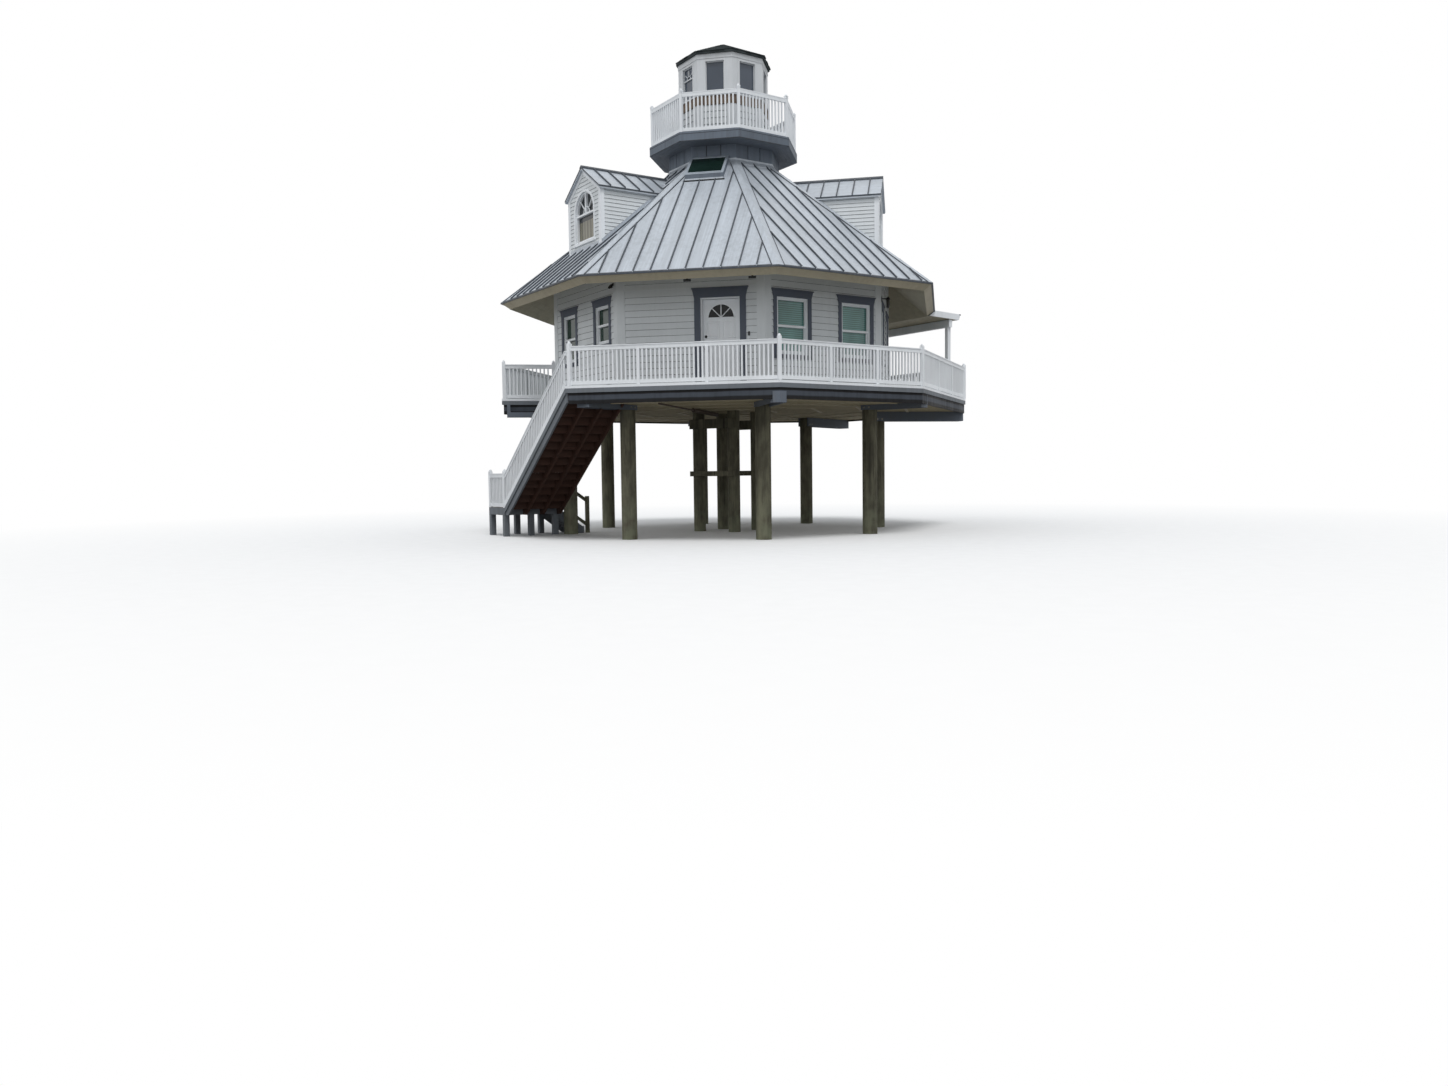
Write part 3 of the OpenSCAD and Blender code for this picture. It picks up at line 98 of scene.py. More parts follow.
FAN_Z = LEAF_FOOT + 1.600
FAN_R = 0.320
KNOB_X = DOOR_X - 0.370
KNOB_Z = LEAF_FOOT + 0.860
KNOB_OUT = 0.055
KNOB_R = 0.0315
EAVE_A = 5.665
EAVE_Z = 6.215
RISE = 0.833
FASCIA_IN = 0.215
FASCIA_DROP = 0.160
HIP_CAP = 0.150
SEAM_SHIFT = -0.050
RIB_H = 0.034
NECK_A = 1.400
WALK_Z = 10.210
WALK_TOP = 10.456
WALK_A = 1.893
WALK_RAIL_A = 1.833
WALK_RAIL_H = 1.000
LANTERN_A = 1.131
LANTERN_TOP = 12.656
LANTERN_SILL = WALK_TOP + 1.120
LANTERN_HEAD = WALK_TOP + 2.010
LANTERN_WIN = 0.250
BAND_FOOT = LANTERN_SILL - 0.232
CAP_A = 1.205
CAP_Z = 12.726
CAP_RISE = 0.580 / CAP_A
SHINGLE_W = 0.190
DORMER_SIDES = (7, 2)
DORMER_A = 4.250
DORMER_X = -0.080
DORMER_HALF = 0.900
DORMER_RIDGE = 9.430
DORMER_RISE = 0.667
DORMER_ROOF_T = 0.070
DORMER_OVER = 0.080
DORMER_BOARD = 0.090
FAN_BARS = (-0.070, -0.045)
DORMER_EAVE_Z = DORMER_RIDGE - DORMER_ROOF_T - DORMER_RISE * DORMER_HALF
ARCH_HALF = 0.530
ARCH_SILL = 7.550
ARCH_SPRING = 8.290
SKY_X = -0.100
SKY_HALF = 0.505
SKY_IN = 1.450
SKY_OUT = 2.190
SKY_H = 0.170
BLIND_SLAT = 0.050
CURTAIN_FOLD = 0.110
CURTAIN_ROD_Z = 8.115
PORCH_A = 6.670
PORCH_Z = EAVE_Z - 0.045
PORCH_EDGE = 0.160
PORCH_LEAN = 0.060
SOFFIT_STEP = 0.1348
SOFFIT_BOARD = 0.1315
STAIR_A = (DECK_A + DECK_A * math.tan(HALF) + RUN_ON) * SIN45
STAIR_T = (DECK_A - DECK_A * math.tan(HALF) - RUN_ON) * SIN45
STAIR_W = STAIR_A - WALL_A - 0.040
RISERS = 15
GOING = 0.260
STEP_RISE = DECK_Z / 19
LANDING_Z = 4 * STEP_RISE
LANDING_L = 1.100
STAIR_FOOT = STAIR_T - RISERS * GOING


# Light and camera: lamps as name, strength, angle and rotation in degrees. The camera's place is from the
# house's axis, and its turn is pitch, roll and yaw in radians.
WORLD_LEVEL = 0.68
FLOOR_BOUNCE = 0.30
SENSOR, PHOTO_WIDTH, FOCAL_PIXELS = 36.0, 1448.0, 1077.6
CAMERA_PLACE = (5.997, -29.70, 1.611)
CAMERA_TURN = (-0.0648, -0.0124, -0.2039)
LAMPS = (("key_lamp", 1.40, 22.0, (28.0, 0.0, 26.0)), ("fill_lamp", 0.40, 60.0, (60.0, 0.0, -55.0)))


def outward(k):
    """Direction square out of side k."""
    return np.array([math.sin(2 * HALF * k), -math.cos(2 * HALF * k), 0.0])


def corner(a, k):
    """Plan point of the octagon's corner k, where a is the distance to its sides."""
    turn = 2 * HALF * k - math.pi / 2 - HALF
    return a / math.cos(HALF) * np.array([math.cos(turn), math.sin(turn)])


def half_side(a):
    """Half the length of a side that lies a from the axis."""
    return a * math.tan(HALF)


def place(k, a, x, z):
    """Points by a side's own measures: a out from the axis, x along the side k, z up. Arrays go in together."""
    k, a, x, z = np.broadcast_arrays(*[np.asarray(v, float) for v in (k, a, x, z)])
    c, s = np.cos(2 * HALF * k), np.sin(2 * HALF * k)
    return np.stack([AXIS_X + a * s + x * c, AXIS_Y - a * c + x * s, z], axis=-1)


def at_axis(plan, z):
    """Plan points about the house's axis, lifted to the height z."""
    plan = np.asarray(plan, float)
    return np.concatenate([plan + [AXIS_X, AXIS_Y], np.broadcast_to(z, plan.shape[:-1])[..., None]], axis=-1)


def roof_top(a):
    """Height of the metal roof at a from the axis: the eave's height plus the rise of the run in."""
    return EAVE_Z + (EAVE_A - a) * RISE


def roof_reach(z):
    """Distance from the axis at which the roof has the height z."""
    return EAVE_A - (z - EAVE_Z) / RISE


def roof_under(a):
    """Height of the soffit under the roof, at a from the axis."""
    return EAVE_Z - FASCIA_DROP + (EAVE_A - FASCIA_IN - a) * RISE


def porch_under(a):
    """Height of the porch roof's underside, straight from the eave's foot to the foot of its outer edge."""
    low, far = PORCH_Z - PORCH_EDGE, PORCH_A - PORCH_LEAN
    near = EAVE_A - FASCIA_IN
    return EAVE_Z - FASCIA_DROP + (a - near) * (low - EAVE_Z + FASCIA_DROP) / (far - near)


def nose_z(x):
    """Height of the line of the stair's noses at x along side 7."""
    return DECK_Z - (STAIR_T - x) * STEP_RISE / GOING


def inset(points, d):
    """Insets a closed outline: each point moves along the sum of its two sides' normals."""
    points = np.asarray(points, float)
    run = np.roll(points, -1, axis=0) - points
    run = run / np.linalg.norm(run, axis=1, keepdims=True)
    after = np.stack([-run[:, 1], run[:, 0]], -1)
    before = np.roll(after, 1, axis=0)
    return points + d * (before + after) / (1 + (before * after).sum(axis=1, keepdims=True))


def deck_outline():
    """Plan of the deck: its eight corners by side, then the notch where the stair comes up."""
    out, half = PORCH_DECK_A, PORCH_DECK_HALF
    far = RIGHT_START - DECK_A / SIN45
    return np.array([
        corner(DECK_A, 0) - [RUN_ON, 0], corner(DECK_A, 1), [RIGHT_START, far],
        [(out + half) * SIN45, (out - half) * SIN45], [(out - half) * SIN45, (out + half) * SIN45],
        [far, RIGHT_START], corner(DECK_A, 6), corner(DECK_A, 7),
        corner(WALL_A, 7), corner(WALL_A, 0), [STAIR_T / SIN45 - WALL_A, -WALL_A]])


def windows(k):
    """Windows of the house wall k: middle, width and foot."""
    if k == 0:
        return []
    if k == 7:
        return [(-0.885, 0.740, CURB_Z + 0.860), (0.990, 0.740, CURB_Z + 1.150)]
    return [(-0.990, 0.940, CURB_Z + 0.740), (0.990, 0.940, CURB_Z + 0.740)]


# Shapes

def volume(rings):
    """Signed volume of lofts: the sum of the tetrahedra from each loft's middle to its faces."""
    r = rings - rings.mean(axis=(1, 2), keepdims=True)
    a, b = r[:, :-1], r[:, 1:]
    an, bn = np.roll(a, -1, axis=2), np.roll(b, -1, axis=2)

    def part(p, q, s):
        return np.einsum("...i,...i", p, np.cross(q, s))

    total = (part(an, a, b) + part(an, b, bn)).sum(axis=(1, 2))
    for ring, sign in ((r[:, 0], 1), (r[:, -1], -1)):
        total = total + sign * part(ring[:, :1], ring[:, 1:-1], ring[:, 2:]).sum(axis=1)
    return total


class Shape:
    """Lofts gathered for one piece. A loft is rings of points joined ring to ring and closed at both ends.
    Each face carries its place round and along the loft, in metres, and each point its board's own shade."""

    def __init__(self, seed=1):
        self.random = np.random.default_rng(seed)
        self.points, self.loops, self.totals, self.grain, self.shade = [], [], [], [], []
        self.count = 0

    def loft(self, rings):
        """Adds lofts: an array of lofts, rings, points, 3. Turned-in ones are turned out by their volume's sign."""
        rings = np.array(rings, float)
        if rings.ndim == 3:
            rings = rings[None]
        wrong = volume(rings) < 0
        rings[wrong] = rings[wrong][:, :, ::-1]
        n, m, p, _ = rings.shape
        index = self.count + np.arange(n * m * p).reshape(n, m, p)
        start = self.random.uniform(0, 40, (n, 2))
        steps = np.linalg.norm(np.roll(rings, -1, axis=2) - rings, axis=3)
        around = np.concatenate([np.zeros((n, m, 1)), np.cumsum(steps, axis=2)], axis=2) + start[:, :1, None]
        run = np.linalg.norm(np.diff(rings.mean(axis=2), axis=1), axis=2)
        along = np.concatenate([np.zeros((n, 1)), np.cumsum(run, axis=1)], axis=1) + start[:, 1:]
        along = along[:, :, None] + np.zeros((n, m, p + 1))
        first, after = index[:, :-1], index[:, 1:]
        quads = np.stack([np.roll(first, -1, axis=2), first, after, np.roll(after, -1, axis=2)], axis=-1)
        u, v, v2 = around[:, :-1], along[:, :-1], along[:, 1:]
        self.add_faces(quads.reshape(-1, 4), np.stack([
            np.stack([u[:, :, 1:], v[:, :, 1:]], -1), np.stack([u[:, :, :-1], v[:, :, :-1]], -1),
            np.stack([u[:, :, :-1], v2[:, :, :-1]], -1), np.stack([u[:, :, 1:], v2[:, :, 1:]], -1)],
            axis=3).reshape(-1, 2))
        for ring, flip in ((0, 1), (m - 1, -1)):
            flat = np.stack([around[:, ring, :-1][:, ::flip], along[:, ring, :-1]], -1)
            self.add_faces(index[:, ring, ::flip], flat.reshape(-1, 2))
        self.points.append(rings.reshape(-1, 3))
        self.shade.append(np.repeat(self.random.uniform(-1, 1, n), m * p))
        self.count += n * m * p

    def add_faces(self, faces, grain):
        self.loops.append(faces.ravel())
        self.totals.append(np.full(len(faces), faces.shape[1]))
        self.grain.append(grain)

    def bars(self, profile, starts, ends, up=(0.0, 0.0, 1.0)):
        """Bars: a profile of points, across and up, carried straight from each start to each end."""
        starts, ends = np.atleast_2d(starts).astype(float), np.atleast_2d(ends).astype(float)
        run = ends - starts
        run = run / np.linalg.norm(run, axis=1, keepdims=True)
        across = np.cross(run, np.broadcast_to(np.asarray(up, float), run.shape))
        across = across / np.linalg.norm(across, axis=1, keepdims=True)
        rise = np.cross(across, run)
        profile = np.asarray(profile, float)
        ring = profile[None, :, :1] * across[:, None] + profile[None, :, 1:] * rise[:, None]
        self.loft(np.stack([starts[:, None] + ring, ends[:, None] + ring], axis=1))

    def blocks(self, k, a1, a2, x1, x2, z1, z2, lift=None, upright=False):
        """Straight blocks on sides: a rectangle in a and z carried along the side from x1 to x2, or where upright,
        a rectangle in a and x carried up. lift(a) is added to the heights, so that a block can lie on a slope."""
        k, a1, a2, x1, x2, z1, z2 = [v.ravel() for v in np.broadcast_arrays(
            *[np.asarray(v, float) for v in (k, a1, a2, x1, x2, z1, z2)])]
        a = np.stack([a1, a2, a2, a1], -1)
        if upright:
            x = np.stack([x1, x1, x2, x2], -1)
            rings = [place(k[:, None], a, x, z[:, None]) for z in (z1, z2)]
        else:
            z = np.stack([z1, z1, z2, z2], -1) + (lift(a) if lift else 0.0)
            rings = [place(k[:, None], a, x[:, None], z) for x in (x1, x2)]
        self.loft(np.stack(rings, axis=1))

    def posts(self, *measures):
        """The same blocks with their grain upright."""
        self.blocks(*measures, upright=True)

    def along(self, k, a, z, x1, x2):
        """One profile of distances a and heights z, carried along side k from x1 to x2."""
        self.loft(np.stack([place(k, a, x, z) for x in (x1, x2)]))

    def slabs(self, outlines, shift):
        """Prisms: each outline of points carried by the shift."""
        outlines = np.asarray(outlines, float)
        if outlines.ndim == 2:
            outlines = outlines[None]
        self.loft(np.stack([outlines, outlines + np.asarray(shift, float)], axis=1))

    def band(self, sides, profile, trim=0.0):
        """A profile of points (distance, height) run along whole sides, mitred at the corners less the trim."""
        profile = np.asarray(profile, float)
        a, z = profile[:, 0], profile[:, 1]
        k = np.asarray(sides, float)[:, None]
        x = half_side(a) - trim
        self.loft(np.stack([place(k, a, -x, z), place(k, a, x, z)], axis=1))

    def turned(self, middles, profile, count=16, axis=(0.0, 0.0, 1.0)):
        """Turned shapes: a profile of points (radius, height) spun about the axis through each middle."""
        axis = np.asarray(axis, float) / np.linalg.norm(axis)
        side = np.cross(axis, (0.31, 0.17, 0.93) if abs(axis[2]) < 0.9 else (1.0, 0.0, 0.0))
        side = side / np.linalg.norm(side)
        other = np.cross(axis, side)
        t = 2 * math.pi * np.arange(count) / count
        spoke = np.cos(t)[:, None] * side + np.sin(t)[:, None] * other
        profile = np.asarray(profile, float)
        ring = profile[:, 0, None, None] * spoke + profile[:, 1, None, None] * axis
        self.loft(np.atleast_2d(middles)[:, None, None, :] + ring[None])

    def finish(self, name, key, slot, body="house", round_below=0.0):
        """Puts the gathered lofts into a mesh object of the key's finish that rides on the body."""
        mesh = bpy.data.meshes.new(name)
        points = np.concatenate(self.points)
        loops = np.concatenate(self.loops).astype(np.int32)
        totals = np.concatenate(self.totals)
        starts = np.concatenate([[0], np.cumsum(totals)[:-1]]).astype(np.int32)
        mesh.vertices.add(len(points))
        mesh.vertices.foreach_set("co", points.ravel())
        mesh.loops.add(len(loops))
        mesh.loops.foreach_set("vertex_index", loops)
        mesh.polygons.add(len(totals))
        mesh.polygons.foreach_set("loop_start", starts)
        mesh.update(calc_edges=True)
        layer = mesh.uv_layers.new(name="grain")
        layer.data.foreach_set("uv", np.concatenate(self.grain).astype(np.float32).ravel())
        shade = mesh.attributes.new("shade", "FLOAT", "POINT")
        shade.data.foreach_set("value", np.concatenate(self.shade).astype(np.float32))
        mesh.polygons.foreach_set("use_smooth", np.full(len(totals), round_below > 0))
        if round_below:
            mesh.set_sharp_from_angle(angle=math.radians(round_below))
        mesh.materials.append(finish(key))
        piece = bpy.data.objects.new(name, mesh)
        bpy.context.scene.collection.objects.link(piece)
        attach(piece, body)
        return piece


def rectangle(w, h, foot=0.0):
    """Profile w across, from foot up by h."""
    return [(-w / 2, foot), (w / 2, foot), (w / 2, foot + h), (-w / 2, foot + h)]


def section(a1, a2, z1, z2):
    """Profile of (distance, height): a rectangle between two distances and two heights."""
    return [(a1, z1), (a2, z1), (a2, z2), (a1, z2)]


def disc(r, count=12):
    """Round profile of radius r."""
    t = 2 * math.pi * np.arange(count) / count
    return np.stack([r * np.cos(t), r * np.sin(t)], axis=-1)


def lap_boards(shape, joints, put, spans, low, high, foot, step, cuts=(), thick=0.016, thin=0.003):
    """Lap siding. Boards rise in courses of the step from the foot; each is a wedge, thick at its lower edge and
    thin under the next one. spans(z1, z2) gives its ends at both heights, and put(x, out, z) places its points.
    A thin dark strip just under each lower edge is painted shade, the shadow of the board above; these strips go to a
    shape of their own."""
    feet = foot + step * np.arange(math.floor((low - foot) / step), math.ceil((high - foot) / step) + 1)
    edges = sorted({float(v) for v in [low, high, *cuts, *feet] if low <= v <= high})
    rows = []
    for z1, z2 in zip(edges[:-1], edges[1:]):
        if z2 - z1 < 0.004:
            continue
        base = foot + step * math.floor((z1 + 1e-6 - foot) / step)
        t1, t2 = [thick - (thick - thin) * (z - base) / step for z in (z1, z2)]
        rows += [(*span, z1, z2, t1, t2) for span in spans(z1, z2)
                 if span[2] - span[0] > 0.01 or span[3] - span[1] > 0.01]
    l1, l2, r1, r2, z1, z2, t1, t2 = np.array(rows).T
    out = np.stack([0 * t1, t1, t2, 0 * t2], -1)
    z = np.stack([z1, z1, z2, z2], -1)
    left = put(np.stack([l1, l1, l2, l2], -1), out, z)
    right = put(np.stack([r1, r1, r2, r2], -1), out, z)
    shape.loft(np.stack([left, right], axis=1))
    # Near black strips at the top of each whole course, under the next board's lower edge: painted shade
    whole = (z2 - z1 > 0.03) & (np.abs((z2 - foot) / step - np.round((z2 - foot) / step)) < 1e-6)
    l2, r2, z2, t2 = l2[whole], r2[whole], z2[whole], t2[whole] + 0.0015
    out, z = np.stack([0 * t2, t2, t2, 0 * t2], -1), np.stack([z2 - 0.007, z2 - 0.007, z2, z2], -1)
    joints.loft(np.stack([put(np.stack([x] * 4, -1), out, z) for x in (l2, r2)], axis=1))


def clear_of(x1, x2, openings, z1, z2):
    """Stretches from x1 to x2 beside the openings (x1, x2, z1, z2) that reach between the two heights."""
    spans, at = [], x1
    middle = (z1 + z2) / 2
    for o in sorted(o for o in openings if o[2] < middle < o[3]):
        if o[0] > at:
            spans.append((at, at, o[0], o[0]))
        at = max(at, o[1])
    if x2 > at:
        spans.append((at, at, x2, x2))
    return spans


def arch_path(half, foot, spring, count=28):
    """Points (x, z) up the left, round the half circle and down the right."""
    t = np.linspace(math.pi, 0.0, count)
    arc = np.stack([half * np.cos(t), spring + half * np.sin(t)], -1)
    return np.concatenate([[(-half, foot)], arc, [(half, foot)]]) if foot < spring else arc


def arch_band(shape, put, inner, outer, foot, spring, out1, out2):
    """Flat band between two arches of half widths inner and outer, between two depths out of the wall."""
    a, b = arch_path(inner, foot, spring), arch_path(outer, foot, spring)
    shape.loft(np.stack([put(p[:, 0], out, p[:, 1]) for p, out in
                         ((a, out1), (a, out2), (b, out2), (b, out1))], axis=1))


def clipped(outline, edges):
    """Part of a convex plan outline that lies to the left of every edge of a counter-clockwise one."""
    for a, b in zip(edges, np.roll(edges, -1, axis=0)):
        d = (b - a)[0] * (outline - a)[:, 1] - (b - a)[1] * (outline - a)[:, 0]
        kept = []
        for p, q, dp, dq in zip(outline, np.roll(outline, -1, axis=0), d, np.roll(d, -1)):
            if dp >= 0:
                kept.append(p)
            if dp * dq < 0:
                kept.append(p + (q - p) * dp / (dp - dq))
        if len(kept) < 3:
            return None
        outline = np.array(kept)
    return outline


# Materials

class Nodes:
    """A node tree with short ways to add and link nodes."""

    def __init__(self, tree):
        self.tree = tree

    def add(self, kind, inputs=None, **settings):
        """Adds a shader node; an input that is a socket is linked, any other is set."""
        node = self.tree.nodes.new("ShaderNode" + kind)
        for key, value in settings.items():
            setattr(node, key, value)
        for key, value in (inputs or {}).items():
            if isinstance(value, bpy.types.NodeSocket):
                self.tree.links.new(value, node.inputs[key])
            else:
                node.inputs[key].default_value = value
        return node

    def group(self, tree, vector):
        """Adds a shader group on the vector and gives its outputs."""
        return self.add("Group", {"Vector": vector}, node_tree=tree).outputs

    def math(self, operation, a, b=0.0):
        return self.add("Math", {0: a, 1: b}, operation=operation).outputs[0]

    def mix(self, factor, a, b, blend="MIX"):
        """Mixes two colours."""
        return self.add("Mix", {0: factor, 6: a, 7: b}, data_type="RGBA", blend_type=blend).outputs[2]

    def remap(self, value, low, high, to_low=0.0, to_high=1.0):
        return self.add("MapRange", {"Value": value, "From Min": low, "From Max": high,
                                     "To Min": to_low, "To Max": to_high}).outputs[0]

    def stretch(self, vector, scale, turn=0.0):
        return self.add("Mapping", {"Vector": vector, "Scale": scale, "Rotation": (0.0, 0.0, turn)}).outputs[0]

    def noise(self, vector, scale=1.0, detail=4.0, rough=0.55):
        return self.add("TexNoise", {"Vector": vector, "Scale": scale, "Detail": detail,
                                     "Roughness": rough}).outputs["Fac"]

    def stretched_noise(self, vector, scale, detail, rough=0.55):
        """Noise of unit size on the vector times the scale."""
        return self.noise(self.stretch(vector, scale), 1.0, detail, rough)

    def place(self):
        """The point's own place in the house, which is the object's place too."""
        return self.add("TexCoord").outputs["Object"]

    def part(self, vector, axis):
        return self.add("SeparateXYZ", {0: vector}).outputs[axis]

    def joined(self, x, y, z):
        return self.add("CombineXYZ", {0: x, 1: y, 2: z}).outputs[0]

    def bump(self, height, strength, depth):
        return self.add("Bump", {"Height": height, "Strength": strength, "Distance": depth}).outputs[0]


def node_group(title, *outputs):
    """Makes a shader group once, from a function of its nodes and its vector that returns its outputs in order."""
    def wrap(build):
        def group():
            if title not in bpy.data.node_groups:
                tree = bpy.data.node_groups.new(title, "ShaderNodeTree")
                tree.interface.new_socket(name="Vector", in_out="INPUT", socket_type="NodeSocketVector")
                for key in outputs:
                    tree.interface.new_socket(name=key, in_out="OUTPUT", socket_type="NodeSocketFloat")
                entry, leave = [tree.nodes.new("NodeGroup" + end) for end in ("Input", "Output")]
                for key, socket in zip(outputs, build(Nodes(tree), entry.outputs["Vector"])):
                    tree.links.new(socket, leave.inputs[key])
            return bpy.data.node_groups[title]
        return group
    return wrap


@node_group("Rain streaks", "Streak", "Speck")
def rain_streaks(n, at):
    """Stains that run down: noise squeezed upright, kept where a broad noise is high, and small specks."""
    fine = n.stretched_noise(at, (9.0, 9.0, 0.55), 5.0, 0.6)
    broad = n.remap(n.noise(at, 0.7, 2.0), 0.35, 0.65, 0.75, 1.1)
    return n.remap(n.math("MULTIPLY", fine, broad), 0.42, 0.68), n.remap(n.noise(at, 28.0, 3.0), 0.62, 0.78)


@node_group("Timber grain", "Fibre", "Check", "Patch")
def timber_grain(n, at):
    """Weathered grain along the vector's third axis: fine fibres, open checks and broad patches."""
    return (n.stretched_noise(at, (70.0, 70.0, 2.2), 6.0, 0.65),
            n.remap(n.stretched_noise(at, (17.0, 17.0, 0.5), 4.0, 0.5), 0.36, 0.29),
            n.stretched_noise(at, (5.0, 5.0, 1.6), 5.0, 0.6))


@node_group("Slope runs", "Fine", "Broad")
def slope_runs(n, at):
    """Fine runs down a roof: noise that is narrow along the nearest side of the octagon and long up its slope."""
    east = n.math("SUBTRACT", n.part(at, 0), AXIS_X)
    north = n.math("SUBTRACT", n.part(at, 1), AXIS_Y)
    turn = n.math("DIVIDE", n.math("ARCTAN2", north, east), 2 * HALF)
    side = n.math("MULTIPLY", n.math("ROUND", turn), 2 * HALF)
    c, s = n.math("COSINE", side), n.math("SINE", side)
    out = n.math("ADD", n.math("MULTIPLY", east, c), n.math("MULTIPLY", north, s))
    along = n.math("SUBTRACT", n.math("MULTIPLY", north, c), n.math("MULTIPLY", east, s))
    on_side = n.joined(along, out, side)
    return (n.stretched_noise(on_side, (26.0, 0.8, 3.0), 5.0, 0.6),
            n.stretched_noise(on_side, (3.0, 0.35, 3.0), 3.0, 0.5))


def colour4(colour, by=1.0):
    return tuple(min(1.0, c * by) for c in colour) + (1.0,)


def board_shade(n, colour, amount):
    """Darkens or lightens a colour by each board's own shade."""
    shade = n.add("Attribute", attribute_name="shade").outputs["Fac"]
    return n.mix(1.0, colour, n.remap(shade, -1.0, 1.0, 1.0 - amount, 1.0 + amount), "MULTIPLY")


def paint_tone(n, colour, dirt, dirt_colour, shade):
    """Colour of weathered paint: a slow fade, then rain streaks and specks of dirt. Gives the streaks too."""
    at = n.place()
    marks = n.group(rain_streaks(), at)
    fade = n.remap(n.noise(at, 0.9, 3.0), 0.3, 0.7)
    tone = board_shade(n, n.mix(fade, colour4(colour, 0.95), colour4(colour, 1.04)), shade)
    tone = n.mix(n.math("MULTIPLY", marks["Streak"], dirt), tone, colour4(dirt_colour))
    tone = n.mix(n.math("MULTIPLY", marks["Speck"], dirt * 0.8), tone, colour4(dirt_colour, 0.6))
    return tone, marks["Streak"]


# Each maker gives the inputs of its material's Principled BSDF by name

def paint(n, colour, rough=0.5, dirt=0.25, dirt_colour=(0.20, 0.19, 0.16), shade=0.03, bump=0.15, gloss=0.5):
    """Weathered paint with faint brush marks."""
    tone, streak = paint_tone(n, colour, dirt, dirt_colour, shade)
    return {"Base Color": tone, "Roughness": n.remap(streak, 0.0, 1.0, rough, min(1.0, rough + 0.2)),
            "Normal": n.bump(n.noise(n.place(), 40.0, 3.0), bump, 0.002), "Specular IOR Level": gloss}


def rim_paint_with_painted_shade(n, colour):
    """The rim's paint with painted shade: a dark band under the fascia's overhang and another along the rim's foot.
    """
    coat = paint(n, colour, 0.6, 0.3, (0.03, 0.03, 0.03), bump=0.4, gloss=0.2)
    wave = n.remap(n.noise(n.place(), 2.5, 3.0), 0.0, 1.0, -0.012, 0.012)
    z = n.math("ADD", n.part(n.place(), 2), wave)
    # Painted shade: dark under the fascia and along the rim's foot, where shade falls
    painted_shade_bands = n.math("MAXIMUM", n.remap(z, DECK_Z - 0.175, DECK_Z - 0.155),
                 n.remap(z, CEILING_Z + 0.055, CEILING_Z + 0.025))
    return {**coat, "Base Color": n.mix(painted_shade_bands, coat["Base Color"], (0.010, 0.010, 0.011, 1.0))}


def timber_place(n, along, turn=0.0):
    """The place with the grain's axis third: upright, along a level axis turned by the turn, or by the UV map."""
    if along == "grain":
        u = n.add("UVMap", uv_map="grain").outputs[0]
        return n.joined(n.part(u, 0), 0.0, n.part(u, 1))
    if along == "z":
        return n.place()
    turned = n.stretch(n.place(), (1.0, 1.0, 1.0), turn)
    return n.joined(n.part(turned, 2), n.part(turned, 1), n.part(turned, 0))


def timber_tone(n, at, colour, dark):
    """Colour of weathered wood: fibres, broad patches and open checks. Gives the grain's outputs too."""
    grain = n.group(timber_grain(), at)
    tone = n.mix(n.remap(grain["Fibre"], 0.3, 0.7), colour4(colour, 0.72), colour4(colour, 1.22))
    tone = n.mix(n.remap(grain["Patch"], 0.38, 0.62, 0.0, 0.75), tone, colour4(dark))
    tone = n.mix(n.math("MULTIPLY", grain["Check"], 0.85), board_shade(n, tone, 0.12), colour4(dark, 0.35))
    return tone, grain


def timber(n, colour, dark, along="z", green=0.0, rough=0.8, turn=0.0, stain=0.0):
    """Weathered wood, with a mossy foot where green is above nought, and dark runs where stain is."""
    at = timber_place(n, along, turn)
    tone, grain = timber_tone(n, at, colour, dark)
    if stain:
        marks = n.group(rain_streaks(), n.place())
        tone = n.mix(n.math("MULTIPLY", marks["Streak"], stain), tone, colour4(dark, 0.6))
    if green:
        foot = n.remap(n.part(n.place(), 2), 1.5, 0.0, 0.0, green)
        patchy = n.math("MULTIPLY", foot, n.remap(n.noise(at, 3.0, 4.0), 0.35, 0.6))
        tone = n.mix(patchy, tone, (0.25, 0.27, 0.18, 1.0))
    height = n.math("SUBTRACT", grain["Fibre"], grain["Check"])
    return {"Base Color": tone, "Roughness": n.remap(grain["Fibre"], 0.2, 0.8, rough - 0.12, rough + 0.1),
            "Normal": n.bump(height, 0.5, 0.004), "Specular IOR Level": 0.25}


def beyond(n, a):
    """One where the place lies further out than a on side 7, and nought elsewhere."""
    out = outward(7)
    far = n.add("VectorMath", {0: n.place(), 1: tuple(out)}, operation="DOT_PRODUCT").outputs["Value"]
    return n.math("GREATER_THAN", far, a + out[0] * AXIS_X + out[1] * AXIS_Y)


def half_painted(n, colour, wood, dark, from_a):
    """Side 7's stair timber: bare wood inside, and paint on what lies further out than from_a."""
    bare, grain = timber_tone(n, timber_place(n, "x", -math.pi / 4), tint(wood), dark)
    tone, streak = paint_tone(n, colour, 0.3, (0.16, 0.16, 0.15), 0.03)
    return {"Base Color": n.mix(beyond(n, from_a), bare, tone), "Roughness": n.remap(streak, 0.0, 1.0, 0.6, 0.8),
            "Normal": n.bump(grain["Fibre"], 0.35, 0.003), "Specular IOR Level": 0.25}


